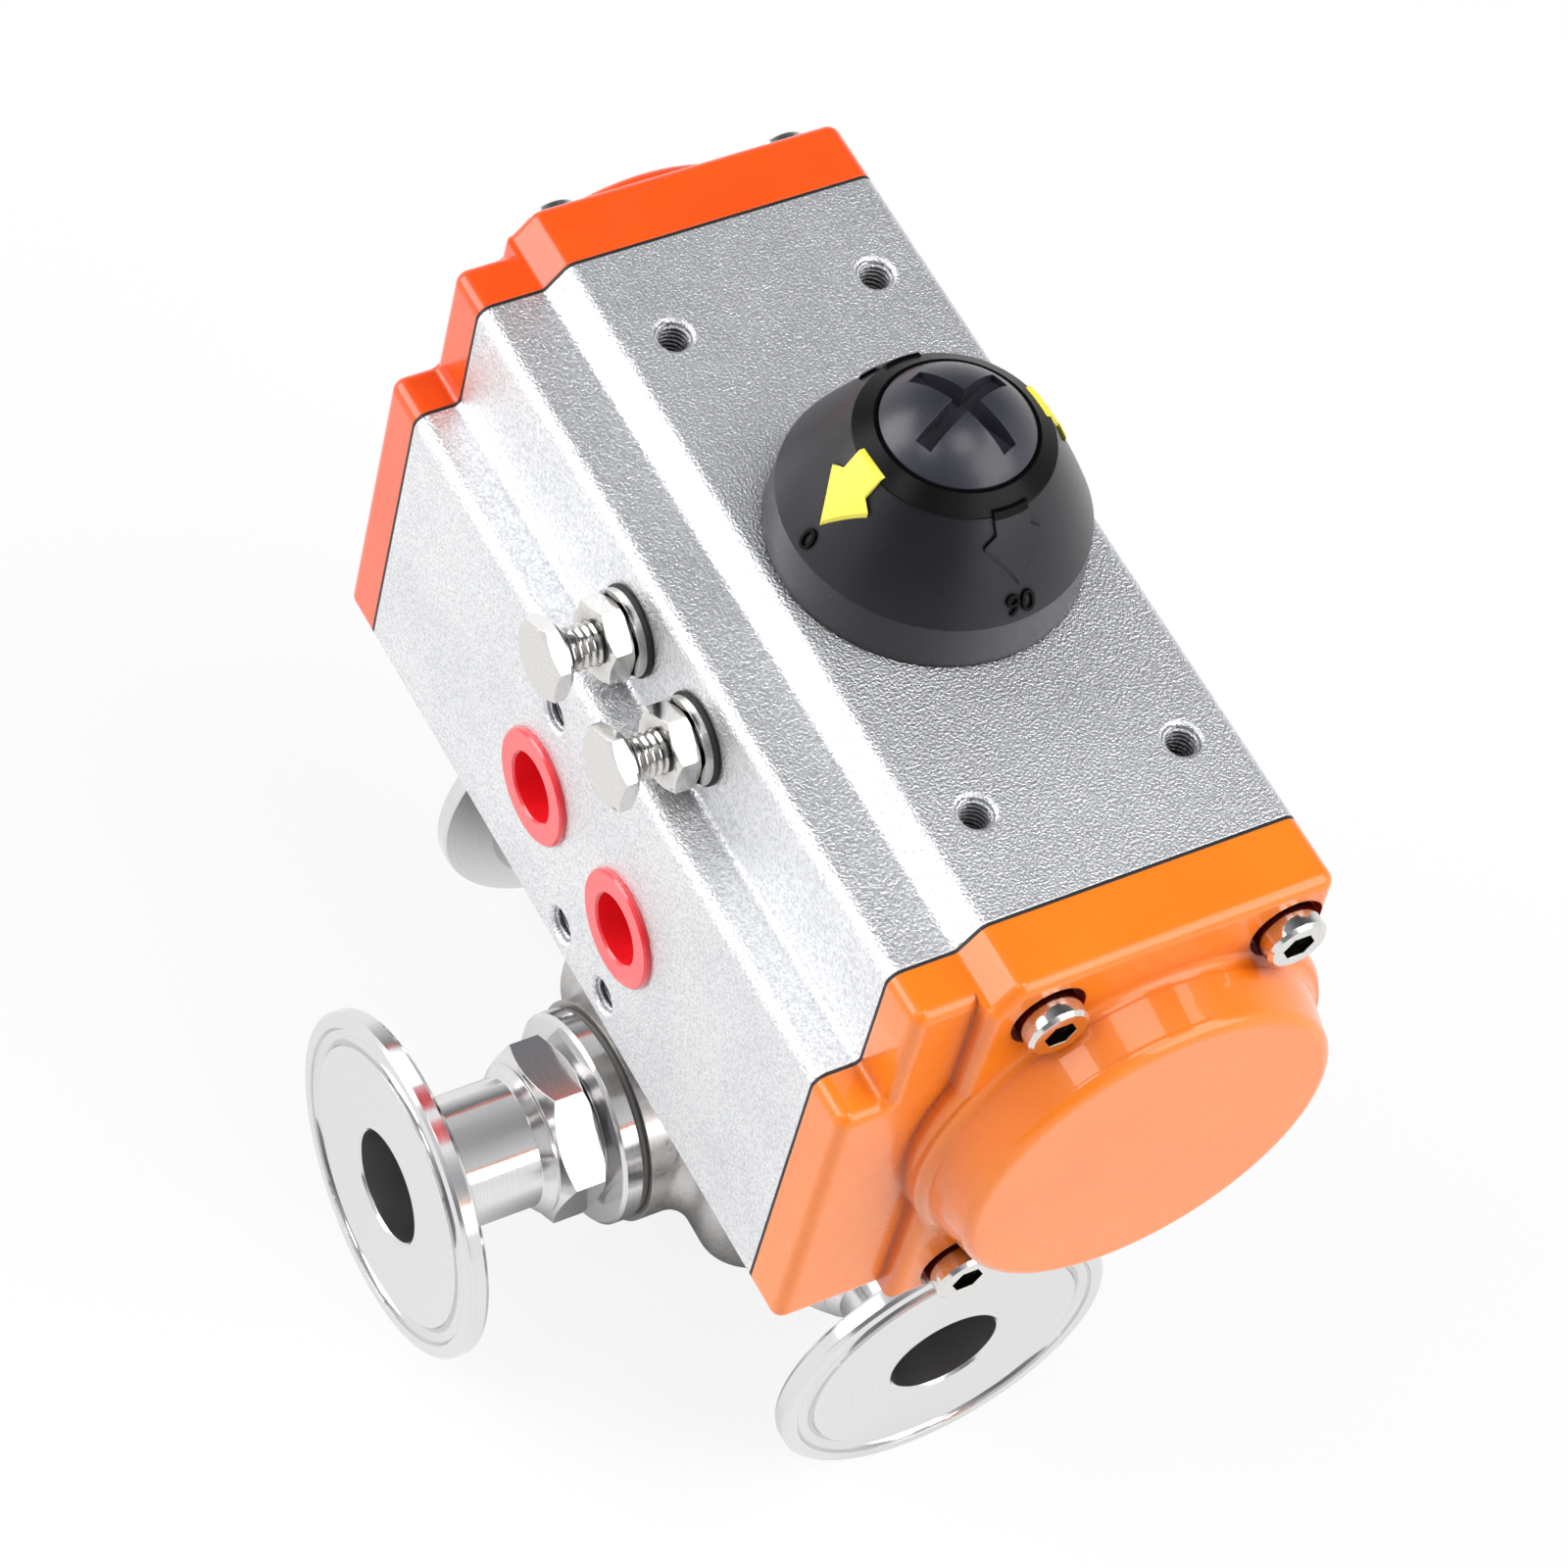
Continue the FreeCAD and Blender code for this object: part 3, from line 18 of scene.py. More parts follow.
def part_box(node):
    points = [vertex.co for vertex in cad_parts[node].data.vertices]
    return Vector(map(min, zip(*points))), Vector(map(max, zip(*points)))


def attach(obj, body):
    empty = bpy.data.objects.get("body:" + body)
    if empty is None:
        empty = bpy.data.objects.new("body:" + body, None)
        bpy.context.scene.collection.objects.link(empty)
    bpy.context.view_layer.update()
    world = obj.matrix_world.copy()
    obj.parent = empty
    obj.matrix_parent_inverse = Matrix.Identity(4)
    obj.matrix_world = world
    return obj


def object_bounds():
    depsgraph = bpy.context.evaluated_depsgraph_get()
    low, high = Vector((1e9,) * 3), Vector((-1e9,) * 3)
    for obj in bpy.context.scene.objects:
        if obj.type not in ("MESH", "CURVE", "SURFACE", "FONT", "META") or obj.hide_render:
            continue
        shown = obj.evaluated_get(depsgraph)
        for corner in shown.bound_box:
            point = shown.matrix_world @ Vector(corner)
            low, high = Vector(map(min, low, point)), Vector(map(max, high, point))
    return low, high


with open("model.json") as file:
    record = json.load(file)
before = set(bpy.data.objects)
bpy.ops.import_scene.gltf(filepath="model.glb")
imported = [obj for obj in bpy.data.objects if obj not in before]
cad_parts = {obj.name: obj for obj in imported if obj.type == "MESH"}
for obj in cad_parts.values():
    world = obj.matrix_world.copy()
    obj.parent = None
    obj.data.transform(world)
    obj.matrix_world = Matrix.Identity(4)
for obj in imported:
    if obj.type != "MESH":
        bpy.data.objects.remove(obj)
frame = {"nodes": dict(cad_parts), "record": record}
cad_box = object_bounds()
nodes = frame["nodes"]
MM = 0.001
print(len(nodes), "solids from the model")


# %% [markdown]
# ## Small helpers
# A colour is easiest to judge as the hex value that a paint chart gives, but Blender mixes
# light in linear values, so one function turns the first into the second. One more function
# adds a shader or geometry node, sets it and links it, which keeps every tree short to read.

# %% Helpers for colours and nodes
def linear(hex_colour):
    """Turn an sRGB hex colour into the linear values that Blender mixes."""
    channels = [int(hex_colour[i : i + 2], 16) / 255 for i in (1, 3, 5)]
    return [c / 12.92 if c <= 0.04045 else ((c + 0.055) / 1.055) ** 2.4 for c in channels] + [1.0]


def node(tree, kind, inputs=None, stops=None, **settings):
    """Add a node, set its properties, and fill its inputs with values or other nodes' outputs.

    The stops of a colour ramp are given as (position, hex colour).
    """
    made = tree.nodes.new(kind)
    for name, value in settings.items():
        setattr(made, name, value)
    for key, value in (inputs or {}).items():
        if isinstance(value, bpy.types.NodeSocket):
            tree.links.new(value, made.inputs[key])
        else:
            made.inputs[key].default_value = value
    if stops:
        elements = made.color_ramp.elements
        elements.remove(elements[1])
        elements[0].position = stops[0][0]
        elements[0].color = linear(stops[0][1])
        for position, colour in stops[1:]:
            elements.new(position).color = linear(colour)
    return made


# %% [markdown]
# ## How every finish is built
# All finishes share three facts. Their patterns have a real size, so a texture's scale is
# worked out from millimetres. The same fine relief that the light shows also makes the surface
# a little duller or shinier. And no real edge is perfectly sharp: the Bevel node rounds the
# edges in the shading alone, which is where the bright edge lines of the photograph come from.

# %% Start and end of a material
hollow_value = 0.3
top_value = 0.7


def per_mm(size):
    """Scale of a texture on object coordinates, in metres, whose cells have a size in mm."""
    return 1.0 / (size * MM)


def start_material(name):
    """Make an empty material, and return it with its tree and the object coordinates."""
    made = bpy.data.materials.new(name)
    made.use_nodes = True
    tree = made.node_tree
    tree.nodes.clear()
    place = node(tree, "ShaderNodeTexCoord").outputs["Object"]
    return made, tree, place


def noise(tree, place, size, detail=2.0, roughness=0.5, dimensions="3D"):
    """Return the value of a noise whose cells have a size in mm."""
    settings = {"Vector": place, "Scale": per_mm(size), "Detail": detail, "Roughness": roughness}
    return node(tree, "ShaderNodeTexNoise", settings, noise_dimensions=dimensions).outputs["Fac"]


def end_material(tree, colour, relief, rough, bump_strength, bump_mm, edge_mm, **more):
    """Shade a surface by its colour and relief, and link it to the material's output.

    The two values of rough are the roughness in the hollows and on top.
    """
    rough_here = node(
        tree,
        "ShaderNodeMapRange",
        {
            "Value": relief,
            "From Min": hollow_value,
            "From Max": top_value,
            "To Min": rough[0],
            "To Max": rough[1],
        },
    )
    edge = node(tree, "ShaderNodeBevel", {"Radius": edge_mm * MM}, samples=4)
    bump = node(
        tree,
        "ShaderNodeBump",
        {
            "Height": relief,
            "Strength": bump_strength,
            "Distance": bump_mm * MM,
            "Normal": edge.outputs["Normal"],
        },
    )
    inputs = {
        "Base Color": colour,
        "Roughness": rough_here.outputs["Result"],
        "Normal": bump.outputs["Normal"],
    }
    inputs.update({name.replace("_", " "): value for name, value in more.items()})
    shader = node(tree, "ShaderNodeBsdfPrincipled", inputs)
    node(tree, "ShaderNodeOutputMaterial", {"Surface": shader.outputs["BSDF"]})


def two_tones(tree, value, colours):
    """Return a colour that goes from the first to the second as a noise's value rises."""
    stops = [(hollow_value, colours[0]), (top_value, colours[1])]
    return node(tree, "ShaderNodeValToRGB", {"Fac": value}, stops).outputs["Color"]


def multiplied(tree, first, second):
    """Return the product of two colours."""
    inputs = {"Factor": 1.0, "A": first, "B": second}
    product = node(tree, "ShaderNodeMix", inputs, data_type="RGBA", blend_type="MULTIPLY")
    return product.outputs["Result"]


def openness(tree, reach_mm):
    """Return how much of the space within a reach in mm is free, from 0 to 1."""
    settings = {"Distance": reach_mm * MM}
    return node(tree, "ShaderNodeAmbientOcclusion", settings, samples=4).outputs["AO"]


def with_painted_crevice_shade(tree, colour, reach_mm, shade, closed=0.25, free=0.80):
    """Darken a colour where other surfaces hem it in: painted shade, for the light that is lost
    there.
    """
    stops = [(closed, shade), (free, "#FFFFFF")]
    tint = node(tree, "ShaderNodeValToRGB", {"Fac": openness(tree, reach_mm)}, stops)
    return multiplied(tree, colour, tint.outputs["Color"])


materials = {}

# %% [markdown]
# ## Bead-blasted, anodised aluminium
# The actuator body is an aluminium extrusion, blasted with fine glass beads and then anodised.
# The beads leave dimples of a few tenths of a millimetre, each a tiny mirror that looks another
# way. So the grey comes from the room, and the sparkle from the relief: a noise at bead size
# drives the bump and the roughness, and tints the colour only a little. The dimples are drawn
# at about twice their real size, or they would vanish at this distance.

# %% Anodised aluminium
bead_mm = 0.40
aluminium, tree, place = start_material("bead_blasted_anodised_aluminium")
beads = noise(tree, place, bead_mm, 1.5, 0.6)
clouds = noise(tree, place, 16.0, 2.0)
grain_colour = node(
    tree,
    "ShaderNodeValToRGB",
    {"Fac": beads},
    [(0.32, "#DADBDD"), (0.50, "#F2F3F5"), (0.66, "#FFFFFF")],
)
cloud_colour = node(
    tree, "ShaderNodeValToRGB", {"Fac": clouds}, [(0.35, "#F8F8F9"), (0.65, "#FFFFFF")]
)
colour = multiplied(tree, grain_colour.outputs["Color"], cloud_colour.outputs["Color"])
# Painted shade: darker inside the tapped holes and in tight corners, such as around the washers.
colour = with_painted_crevice_shade(tree, colour, 4.0, "#27282A", 0.12, 0.55)
end_material(tree, colour, beads, (0.50, 0.40), 1.0, 0.25, 0.35, Metallic=1.0)
materials["anodised_aluminium"] = aluminium

# %% [markdown]
# ## Orange powder coat
# The end caps are die-cast aluminium under a smooth, glossy powder coat. Powder melts into a
# skin that is glossy but never quite flat: at a few millimetres it has the faint swell called
# orange peel. So the coat is a plastic with a very weak, wide bump under a clear top layer that
# mirrors the lamps sharply. In the corners less light gets in, so a painted shade makes them
# darker and redder. The two caps come from two batches: one is a little redder.

# %% Orange coating
def orange_coat(name, colours):
    """Make a powder coat whose colour drifts at random between two values, with painted shade in
    its corners.
    """
    coat, tree, place = start_material(name)
    peel = noise(tree, place, 3.0, 0.0)
    colour = two_tones(tree, noise(tree, place, 18.0, 2.0), colours)
    end_material(
        tree,
        # Painted shade darkens the coat in its corners.
        with_painted_crevice_shade(tree, colour, 5.0, "#A8431A"),
        peel,
        (0.26, 0.28),
        0.03,
        0.04,
        0.4,
        IOR=1.52,
        Specular_IOR_Level=0.36,
        Coat_Weight=0.5,
        Coat_Roughness=0.03,
    )
    return coat


materials["orange_coating"] = orange_coat("glossy_orange_powder_coat", ("#F27B18", "#F5821E"))
redder_coat = orange_coat("glossy_red_orange_powder_coat", ("#F7520F", "#FA5914"))


# %% [markdown]
# ## Turned and polished steel
# The clamp ends are turned on a lathe and then polished. The tool and the polishing belt both
# go round the axis, so every mark that is left is a circle around it. A noise that only knows
# the distance from the axis and the place along it gives such circles on flat faces, cones and
# tubes alike. The marks are very fine, so they only tint and roughen the metal a little. A
# polishing belt does not reach into a bore, so inside a given radius the metal stays duller.

# %% Lathe-turned metals
bore_roughness = 0.25


def turned_metal(name, along, colours, roughness, mark_mm, bump_strength, bore_mm=0.01):
    """Make a metal whose marks run in circles around the X, Y or Z axis through the origin."""
    metal, tree, place = start_material(name)
    parts = node(tree, "ShaderNodeSeparateXYZ", {"Vector": place}).outputs
    across = [axis for axis in "XYZ" if axis != along]
    flat = node(tree, "ShaderNodeCombineXYZ", {"X": parts[across[0]], "Y": parts[across[1]]})
    radius = node(tree, "ShaderNodeVectorMath", {0: flat.outputs[0]}, operation="LENGTH")
    rings = node(tree, "ShaderNodeCombineXYZ", {"X": radius.outputs["Value"], "Y": parts[along]})
    marks = noise(tree, rings.outputs[0], mark_mm, 3.0, 0.6, "2D")
    colour = two_tones(tree, marks, colours)
    rough = []
    for share in (0.8, 1.2):
        bore = {
            "Value": radius.outputs["Value"],
            "From Min": bore_mm * MM,
            "From Max": bore_mm * 1.02 * MM,
            "To Min": bore_roughness,
            "To Max": roughness * share,
        }
        rough.append(node(tree, "ShaderNodeMapRange", bore).outputs["Result"])
    end_material(tree, colour, marks, rough, bump_strength, 0.02, 0.15, Metallic=1.0)
    return metal


steel_colours = ("#DEDDDD", "#E6E5E5")
bore_mm = 8.3
polished_x = turned_metal("polished_stainless_x", "X", steel_colours, 0.13, 0.25, 0.07, bore_mm)
polished_y = turned_metal("polished_stainless_y", "Y", steel_colours, 0.13, 0.25, 0.07, bore_mm)
materials["turned_stainless"] = turned_metal(
    "fine_turned_stainless", "Z", ("#C4C2BF", "#D4D2CF"), 0.24, 0.4, 0.4
)
materials["polished_ball"] = turned_metal(
    "lapped_ball_steel", "X", ("#DDDDDD", "#E6E6E6"), 0.06, 0.5, 0.1
)
print("turned metals made")


# %% [markdown]
# ## Cast and machined metals
# The valve body is an investment casting with a satin skin, the pistons are die castings, and
# the fasteners are cold-formed and bright. What sets them apart is the size of their grain and
# how rough it is, so one recipe takes those as its sizes.

# %% Grained metals
def grained_metal(name, colours, roughness, grain_mm, bump_strength, shade="#8A8784"):
    """Make a metal with an even grain of a size in mm, and a painted shade for its crevices."""
    metal, tree, place = start_material(name)
    grain = noise(tree, place, grain_mm, 3.0, 0.6)
    rough = (roughness * 0.8, roughness * 1.2)
    # Painted shade darkens the grain in crevices, such as hex sockets and thread roots.
    shaded = with_painted_crevice_shade(tree, two_tones(tree, grain, colours), 4.0, shade)
    end_material(tree, shaded, grain, rough, bump_strength, 0.03, 0.15, Metallic=1.0)
    return metal


materials["cast_stainless"] = grained_metal(
    "satin_cast_stainless", ("#C2C0BE", "#D2D0CE"), 0.33, 0.8, 0.4
)
materials["cast_aluminium"] = grained_metal(
    "die_cast_aluminium", ("#B2B3B6", "#CACBCD"), 0.4, 0.9, 0.5
)
materials["plated_steel"] = grained_metal(
    "nickel_plated_steel", ("#B9B7B2", "#C9C7C2"), 0.25, 0.5, 0.2
)
materials["stainless_fastener"] = grained_metal(
    "bright_stainless_fastener", ("#DAD8D5", "#E6E4E1"), 0.11, 0.5, 0.15, "#3A3836"
)
materials["spring_steel"] = grained_metal(
    "phosphated_spring_steel", ("#5F6062", "#757679"), 0.4, 0.6, 0.3
)
print("grained metals made")


# %% [markdown]
# ## Moulded plastics and rubber
# The indicator, the plugs and the seals are moulded. A mould is spark-eroded or polished, and
# the part copies its skin: fine and satin on the indicator, nearly smooth on the plugs. Each
# has the index of refraction of its plastic, about one and a half, and a fine bump. The rim of
# the indicator looks much darker than its flanks, so its nylon is matt above the height where
# the rim starts and darker there, a painted shade, and the nylon of the dial's numbers is matt
# all over. At the foot of raised marks on it, the shine is taken away as a painted shadow.

# %% Plastics
def moulded(
    name, colours, roughness, texture_mm, bump_strength, ior=1.5, glow=0.0, gloss=0.0, matt_mm=None
):
    """Make a plastic or rubber.

    The glow is how much light gets into it, and the gloss how wet its skin looks. With a
    height matt_mm, the skin above it hardly shines and is darker, a painted shade, and the skin
    at the foot of anything that stands on it hardly shines either, a painted shadow.
    """
    skin, tree, place = start_material(name)
    texture = noise(tree, place, texture_mm, 2.0)
    colour = two_tones(tree, noise(tree, place, 7.0, 2.0), colours)
    shine = 0.5
    if matt_mm is not None:
        height = node(tree, "ShaderNodeSeparateXYZ", {"Vector": place}).outputs["Z"]
        edge = {"Value": height, "From Min": (matt_mm - 0.1) * MM, "From Max": matt_mm * MM}
        mattness = node(tree, "ShaderNodeMapRange", edge).outputs["Result"]
        # The rim's darker colour is painted shade; its lower shine is its matt skin.
        darker = {"Factor": mattness, "A": colour, "B": linear("#060607")}
        colour = node(tree, "ShaderNodeMix", darker, data_type="RGBA").outputs["Result"]
        dulling = {"Value": mattness, "To Min": 0.5, "To Max": 0.12}
        dulling = node(tree, "ShaderNodeMapRange", dulling).outputs["Result"]
        # Painted shadow: the shine is taken away at the foot of raised marks, where little space
        # is free.
        foot = {"Value": openness(tree, 1.0), "From Min": 0.5, "From Max": 0.9, "To Min": 0.1}
        foot = node(tree, "ShaderNodeMapRange", foot).outputs["Result"]
        product = node(tree, "ShaderNodeMath", {0: dulling, 1: foot}, operation="MULTIPLY")
        shine = product.outputs[0]
    end_material(
        tree,
        colour,
        texture,
        (roughness * 0.88, roughness * 1.12),
        bump_strength,
        0.03,
        0.15,
        IOR=ior,
        Subsurface_Weight=glow,
        Subsurface_Radius=(0.8, 0.4, 0.3),
        Subsurface_Scale=1.0 * MM,
        Specular_IOR_Level=shine,
        Coat_Weight=gloss,
        Coat_Roughness=0.15,
    )
    return skin


rim_height_mm = 139.9
materials["black_plastic"] = moulded(
    "satin_black_nylon_with_matt_painted_shade_rim",
    ("#111117", "#15151C"),
    0.31,
    0.35,
    0.25,
    matt_mm=rim_height_mm,
)
materials["black_gloss_plastic"] = moulded(
    "glossy_black_nylon", ("#2B2B34", "#31313B"), 0.31, 0.6, 0.15, 1.5
)
materials["yellow_plastic"] = moulded(
    "yellow_nylon", ("#F1E650", "#F6EC5C"), 0.45, 0.35, 0.3, 1.53
)
materials["red_plastic"] = moulded(
    "soft_red_polyethylene", ("#F31A26", "#F72431"), 0.3, 0.8, 0.1, 1.51, 0.25, 1.0
)
materials["black_rubber"] = moulded("nitrile_rubber", ("#1B1B1C", "#222223"), 0.6, 0.4, 0.3, 1.52)
materials["acetal_plastic"] = moulded(
    "natural_acetal", ("#E2DDCD", "#E9E4D6"), 0.4, 0.6, 0.2, 1.48
)
materials["seat_polymer"] = moulded(
    "white_fluoropolymer", ("#ECEAE4", "#F2F0EB"), 0.38, 0.6, 0.2, 1.38
)
number_nylon = moulded(
    "matt_black_nylon", ("#050506", "#08080A"), 0.5, 0.35, 0.25, matt_mm=100.0
)
seal_polymer_painted_shade = moulded(
    "grey_fluoropolymer_painted_shade", ("#757371", "#807E7B"), 0.4, 0.5, 0.2, 1.38
)
print("plastics made")

# %% [markdown]
# ## Dress the solids
# Each solid of the model already says which finish it has, in its material slot. The loop puts
# the finished material there. The polished ends lie along two axes, so they take the one whose
# circles go round their own axis. The seals at the connectors look grey, as they sit in a shaded
# recess, so they take a grey polymer: its grey is painted shade.

# %% Give every solid its material
materials["polished_stainless"] = polished_x
slots = {row["node"]: row["material_slot"] for row in frame["record"]["subparts"]}
exceptions = {
    "end_connector_c": polished_y,
    "end_cap_left": redder_coat,
    # The grey of the seals is painted shade for the recess they sit in.
    "body_seals": seal_polymer_painted_shade,
}
for name, thing in nodes.items():
    thing.data.materials.clear()
    thing.data.materials.append(exceptions.get(name, materials[slots[name]]))
print(len(slots), "solids dressed")

# %% [markdown]
# ## Threads in the tapped holes
# The four holes in the top plate and the three in the port face are tapped for 5 mm screws, with
# a turn every 0.8 mm; one of the three is only a shallow one. A tap cuts one long groove and
# leaves one long ridge between its turns. The ridge is a rule more than a shape: a small
# triangle that climbs along a helix. So a geometry nodes tree sweeps the triangle along a
# spiral, puts a copy at each hole and paints it.

# %% The tapped thread as a node tree
def thread_tree(name):
    """Make a tree that puts a helical ridge at each point, standing on the point along Z."""
    tree = bpy.data.node_groups.new(name, "GeometryNodeTree")
    sizes = ("Bore Radius", "Pitch", "Turns", "Ridge Size")
    tree.interface.new_socket("Holes", in_out="INPUT", socket_type="NodeSocketGeometry")
    for size in sizes:
        tree.interface.new_socket(size, in_out="INPUT", socket_type="NodeSocketFloat")
    tree.interface.new_socket("Direction", in_out="INPUT", socket_type="NodeSocketVector")
    tree.interface.new_socket("Finish", in_out="INPUT", socket_type="NodeSocketMaterial")
    tree.interface.new_socket("Threads", in_out="OUTPUT", socket_type="NodeSocketGeometry")
    given = node(tree, "NodeGroupInput").outputs
    inward = {0: given["Ridge Size"], 1: 0.45}
    inward = node(tree, "ShaderNodeMath", inward, operation="MULTIPLY")
    middle = {0: given["Bore Radius"], 1: inward.outputs[0]}
    middle = node(tree, "ShaderNodeMath", middle, operation="SUBTRACT")
    depth = {0: given["Pitch"], 1: given["Turns"]}
    depth = node(tree, "ShaderNodeMath", depth, operation="MULTIPLY")
    helix = node(
        tree,
        "GeometryNodeCurveSpiral",
        {
            "Resolution": 28,
            "Rotations": given["Turns"],
            "Start Radius": middle.outputs[0],
            "End Radius": middle.outputs[0],
            "Height": depth.outputs[0],
        },
    )
    level = node(tree, "GeometryNodeSetCurveNormal", {"Curve": helix.outputs[0]}, mode="Z_UP")
    triangle = node(
        tree, "GeometryNodeCurvePrimitiveCircle", {"Resolution": 3, "Radius": given["Ridge Size"]}
    )
    ridge = node(
        tree,
        "GeometryNodeCurveToMesh",
        {"Curve": level.outputs[0], "Profile Curve": triangle.outputs[0], "Fill Caps": True},
    )
    turn = node(
        tree, "FunctionNodeAlignRotationToVector", {"Vector": given["Direction"]}, axis="Z"
    )
    copies = node(
        tree,
        "GeometryNodeInstanceOnPoints",
        {"Points": given["Holes"], "Instance": ridge.outputs[0], "Rotation": turn.outputs[0]},
    )
    real = node(tree, "GeometryNodeRealizeInstances", {0: copies.outputs[0]})
    painted = node(
        tree, "GeometryNodeSetMaterial", {"Geometry": real.outputs[0], "Material": given["Finish"]}
    )
    node(tree, "NodeGroupOutput", {"Threads": painted.outputs[0]})
    return tree


def grown_mesh(name, points, tree, values):
    """Run a tree on loose points with its named inputs set, and return the result as an object."""
    seeds = bpy.data.meshes.new(name)
    seeds.from_pydata(points, [], [])
    made = bpy.data.objects.new(name, seeds)
    bpy.context.scene.collection.objects.link(made)
    modifier = made.modifiers.new("grow", "NODES")
    modifier.node_group = tree
    for item in tree.interface.items_tree:
        if item.in_out == "INPUT" and item.name in values:
            modifier[item.identifier] = values[item.name]
    made.update_tag()
    finished = made.evaluated_get(bpy.context.evaluated_depsgraph_get())
    grown = bpy.data.meshes.new_from_object(finished)
    made.modifiers.remove(modifier)
    made.data = grown
    return made


# %% [markdown]
# ## The seven threads
# The holes lie on the top plate and on the port face, so each group has its own direction. A
# thread starts just under the face, where a tapped hole has its small chamfer. Each group becomes
# one plain mesh that stays with the housing.

# %% The seven threads
tapped_thread = thread_tree("tapped_thread")
thread_sizes = {
    "Bore Radius": 2.5 * MM,
    "Pitch": 0.8 * MM,
    "Ridge Size": 0.32 * MM,
    "Finish": aluminium,
}
chamfer = 0.45 * MM
top_thread_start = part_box("actuator_body")[1][2] - chamfer
face_thread_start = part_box("actuator_body")[0][1] + chamfer
half_length = 40.0 * MM
half_width = 15.0 * MM
face_hole_offset = 12.0 * MM
lower_hole_height = 54.5 * MM
upper_hole_height = 86.5 * MM
full_turns = 8.0
shallow_turns = 4.0

top_holes = [
    (x, y, top_thread_start)
    for x in (-half_length, half_length)
    for y in (-half_width, half_width)
]
face_holes = [
    (face_hole_offset, face_thread_start, lower_hole_height),
    (-face_hole_offset, face_thread_start, upper_hole_height),
]
shallow_holes = [(0.0, face_thread_start, lower_hole_height)]
thread_sets = (
    ("top_hole_threads", top_holes, (0.0, 0.0, -1.0), full_turns),
    ("face_hole_threads", face_holes, (0.0, 1.0, 0.0), full_turns),
    ("shallow_hole_thread", shallow_holes, (0.0, 1.0, 0.0), shallow_turns),
)
for name, holes, direction, turns in thread_sets:
    values = dict(thread_sizes, Direction=direction, Turns=turns)
    threads = grown_mesh(name, holes, tapped_thread, values)
    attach(threads, "housing")
    print(name, "has", len(threads.data.polygons), "faces")

# %% [markdown]
# ## Numbers on the dial
# The rim of the indicator carries raised marks where the arrows point: 0 for the rest position
# and 90 for the far end of the quarter turn. They are moulded with the cap, four tenths of a
# millimetre proud, and stand upright to somebody who looks at the dial from its edge. The text
# is made flat, turned into a mesh and then laid on the cone: each of its points is thrown at
# the cap from outside, and stops where it hits it.

# %% Dial numbers
dial_turn = 3.0
number_size = 4.3 * MM
number_rise = 0.4 * MM
number_sink = 0.15 * MM
number_height = 8.7 * MM
dial_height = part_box("indicator_cap")[0][2] + number_height
dial_radius = 19.2 * MM
aim_distance = 10.0 * MM
climb = Vector((-0.466, 0.885))
cap_surface = BVHTree.FromObject(nodes["indicator_cap"], bpy.context.evaluated_depsgraph_get())


def dial_number(text, direction):
    """Lay a raised number on the cap's slope, where direction is its angle from +X in degrees."""
    letters = bpy.data.curves.new("flat_number", "FONT")
    letters.body = text
    letters.size = number_size
    letters.align_x = "CENTER"
    letters.align_y = "CENTER"
    letters.extrude = 1.0
    letters.resolution_u = 5
    flat = bpy.data.objects.new("flat_number", letters)
    mesh = bpy.data.meshes.new_from_object(flat)
    for vertex in mesh.vertices:
        across, up, side = vertex.co
        angle = math.radians(direction) + across / dial_radius
        outward = Vector((math.cos(angle), math.sin(angle), 0.0))
        aim = outward * (dial_radius + climb.x * up) + Vector((0, 0, dial_height + climb.y * up))
        hit, normal = cap_surface.ray_cast(aim + outward * aim_distance, -outward)[:2]
        vertex.co = hit + normal * (number_rise if side > 0 else -number_sink)
    weld = bmesh.new()
    weld.from_mesh(mesh)
    bmesh.ops.remove_doubles(weld, verts=weld.verts, dist=0.001 * MM)
    bmesh.ops.recalc_face_normals(weld, faces=weld.faces)
    weld.to_mesh(mesh)
    weld.free()
    mesh.materials.clear()
    mesh.materials.append(number_nylon)
    number = bpy.data.objects.new("dial_number_" + text, mesh)
    bpy.context.scene.collection.objects.link(number)
    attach(number, "drive_train")
    print("number", text, "has", len(mesh.polygons), "faces")


dial_number("0", dial_turn - 90.0)
dial_number("90", dial_turn)

# %% [markdown]
# ## Floor and studio
# The valve stands on a pale floor under a grey studio sky that is darker above and in two
# places. The floor shows white to the camera and keeps a trace of the shadow. In reflections it
# shows a painted shadow: it glows less right under the valve, where little light reaches it, and
# that gives the polished steel its dark undersides.

# %% Floor and world
white_share = 0.86
darkest = 0.12
dark_radius = 32.0 * MM
light_radius = 66.0 * MM
floor_mesh = bpy.data.meshes.new("floor")
reach = 6.0
floor_z = cad_box[0][2]
corners = [(-reach, -reach), (reach, -reach), (reach, reach), (-reach, reach)]
floor_mesh.from_pydata([(x, y, floor_z) for x, y in corners], [], [(0, 1, 2, 3)])
floor = bpy.data.objects.new("floor", floor_mesh)
bpy.context.scene.collection.objects.link(floor)

white, tree, place = start_material("white_studio_floor")
path = node(tree, "ShaderNodeLightPath").outputs
rays = {0: path["Is Camera Ray"], 1: path["Is Glossy Ray"]}
seen = node(tree, "ShaderNodeMath", rays, operation="ADD")
rays = {0: seen.outputs[0], 1: path["Is Transmission Ray"]}
seen = node(tree, "ShaderNodeMath", rays, operation="ADD", use_clamp=True)
share = {0: seen.outputs[0], 1: white_share}
share = node(tree, "ShaderNodeMath", share, operation="MULTIPLY")
paint = node(tree, "ShaderNodeBsdfDiffuse", {"Color": linear("#F2F2F2")})
distance = node(tree, "ShaderNodeVectorMath", {0: place}, operation="LENGTH").outputs["Value"]
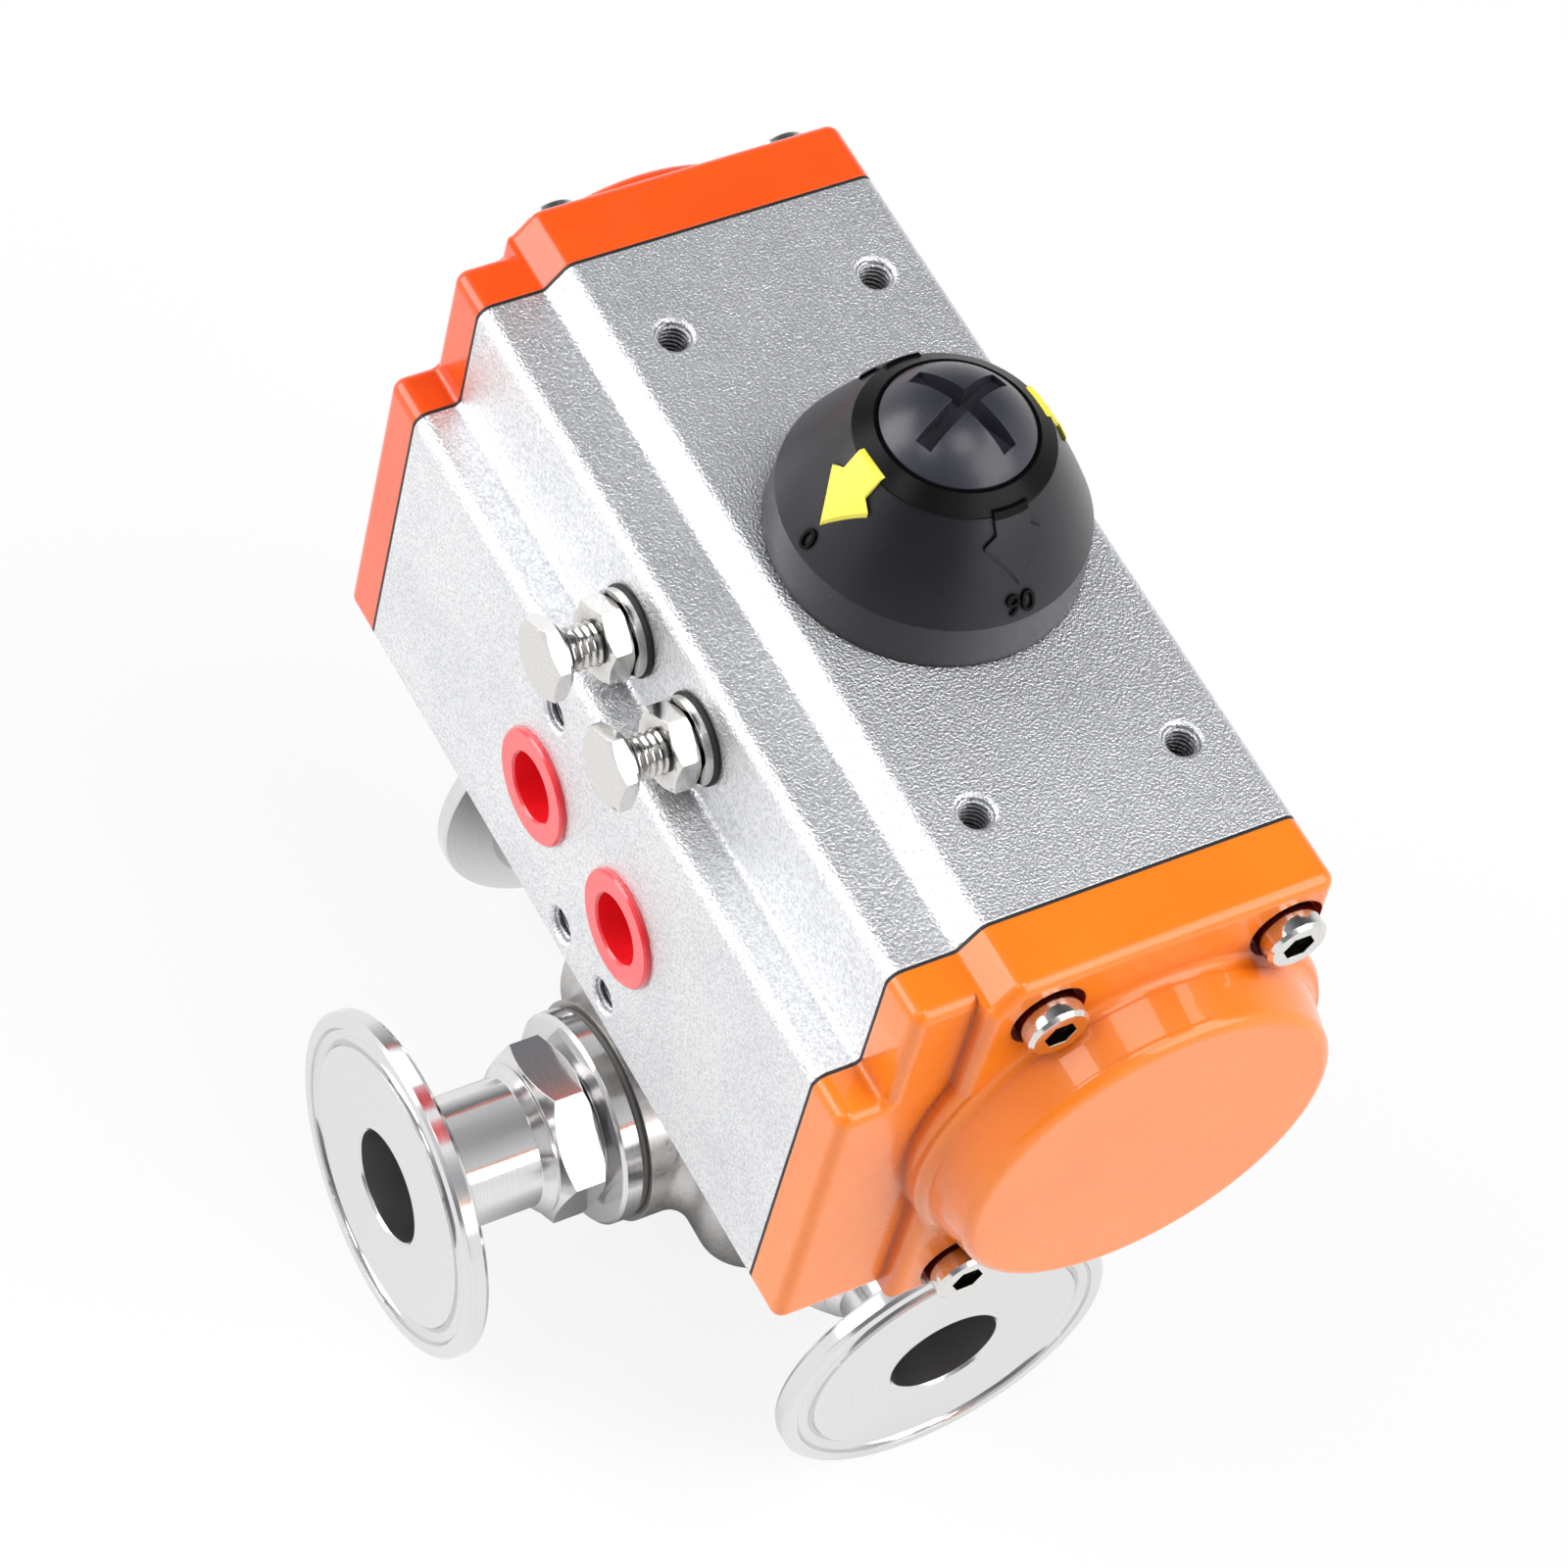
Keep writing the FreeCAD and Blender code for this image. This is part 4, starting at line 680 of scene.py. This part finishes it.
# Painted shadow: in reflections the floor glows less towards the valve.
painted_shadow_under_valve = {
    "Value": distance,
    "From Min": dark_radius,
    "From Max": light_radius,
    "To Min": darkest,
}
light_there = node(tree, "ShaderNodeMapRange", painted_shadow_under_valve, interpolation_type="SMOOTHSTEP")
mirrored = {0: path["Is Camera Ray"], 2: light_there.outputs["Result"], 3: 1.0}
mirrored = node(tree, "ShaderNodeMix", mirrored)
glow = node(tree, "ShaderNodeEmission", {"Strength": mirrored.outputs[0]})
mixed = {0: share.outputs[0], 1: paint.outputs[0], 2: glow.outputs[0]}
mixed = node(tree, "ShaderNodeMixShader", mixed)
node(tree, "ShaderNodeOutputMaterial", {"Surface": mixed.outputs[0]})
floor_mesh.materials.append(white)

world = bpy.data.worlds.new("studio")
world.use_nodes = True
tree = world.node_tree
tree.nodes.clear()
way = node(tree, "ShaderNodeTexCoord").outputs["Generated"]
height = node(tree, "ShaderNodeSeparateXYZ", {"Vector": way}).outputs["Z"]
sky = node(
    tree,
    "ShaderNodeValToRGB",
    {"Fac": height},
    [(0.0, "#FFFFFF"), (0.25, "#F4F4F5"), (0.45, "#CBCCCE"), (0.8, "#A3A4A7"), (1.0, "#9B9C9F")],
)
dim_places = (
    ((0.736, -0.663, 0.139), 0.70, 0.90, "#8C8C90"),
    ((-0.540, 0.460, 0.705), 0.60, 0.94, "#97979B"),
)
room = sky.outputs["Color"]
for direction, outside, inside, shade in dim_places:
    nearness = node(tree, "ShaderNodeVectorMath", {0: way, 1: direction}, operation="DOT_PRODUCT")
    dimming = node(
        tree,
        "ShaderNodeValToRGB",
        {"Fac": nearness.outputs["Value"]},
        [(outside, "#FFFFFF"), (inside, shade)],
    )
    room = multiplied(tree, room, dimming.outputs["Color"])
path = node(tree, "ShaderNodeLightPath").outputs
backdrop = node(
    tree,
    "ShaderNodeMix",
    {"Factor": path["Is Camera Ray"], "A": room, "B": (1, 1, 1, 1)},
    data_type="RGBA",
)
light = node(tree, "ShaderNodeBackground", {"Color": backdrop.outputs["Result"], "Strength": 1.0})
node(tree, "ShaderNodeOutputWorld", {"Surface": light.outputs[0]})
bpy.context.scene.world = world
bpy.context.scene.view_settings.view_transform = "Standard"

# %% [markdown]
# ## Lamps
# Two wide lamps light the valve from the left and the right of the camera. Three small ones hang
# higher, and the glossy coat of the near end cap mirrors them as sharp patches on its dome. A
# lamp's power is worked out from how bright its face is, so that its size can change alone.

# %% Lamps
def soft_lamp(name, azimuth, elevation, distance, size, radiance):
    """Hang a square soft lamp that looks at the valve from a direction in degrees."""
    data = bpy.data.lights.new(name, "AREA")
    data.shape = "SQUARE"
    data.size = size
    data.energy = radiance * math.pi * size**2
    lamp = bpy.data.objects.new(name, data)
    bpy.context.scene.collection.objects.link(lamp)
    flat = math.cos(math.radians(elevation))
    way = Vector(
        (
            flat * math.cos(math.radians(azimuth)),
            flat * math.sin(math.radians(azimuth)),
            math.sin(math.radians(elevation)),
        )
    )
    turn = way.to_track_quat("Z", "Y").to_matrix().to_4x4()
    lamp.matrix_world = Matrix.Translation(lit_place + way * distance) @ turn


lit_place = Vector((0.0, 0.0, 60.0)) * MM
soft_lamp("left_lamp", -130.0, 26.0, 1.2, 0.8, 4.4)
soft_lamp("right_lamp", 32.0, 38.0, 1.2, 0.95, 3.2)
soft_lamp("upper_lamp", 0.0, 74.0, 1.0, 0.38, 4.4)
soft_lamp("front_lamp", -86.0, 55.0, 1.0, 0.25, 5.0)
soft_lamp("back_lamp", 70.0, 55.0, 1.0, 0.25, 4.0)

# %% [markdown]
# ## Camera
# The photograph was taken from the right front, high above, with a long lens, and turned in
# the hand so that the actuator rises steeply to the left. The place, the target and the roll
# say so directly.

# %% Camera
camera_data = bpy.data.cameras.new("camera")
camera_data.lens = 141.3
camera_data.sensor_width = 36.0
camera_data.clip_start = 0.05
camera_data.clip_end = 20.0
camera = bpy.data.objects.new("camera", camera_data)
bpy.context.scene.collection.objects.link(camera)
stand = Vector((363.8, -335.9, 718.8)) * MM
target = Vector((-5.83, -5.48, 60.52)) * MM
roll = Quaternion((0.0, 0.0, 1.0), math.radians(16.56))
turn = (target - stand).to_track_quat("-Z", "Y") @ roll
camera.matrix_world = Matrix.Translation(stand) @ turn.to_matrix().to_4x4()
bpy.context.scene.camera = camera
print("camera", round((target - stand).length, 3), "m away")
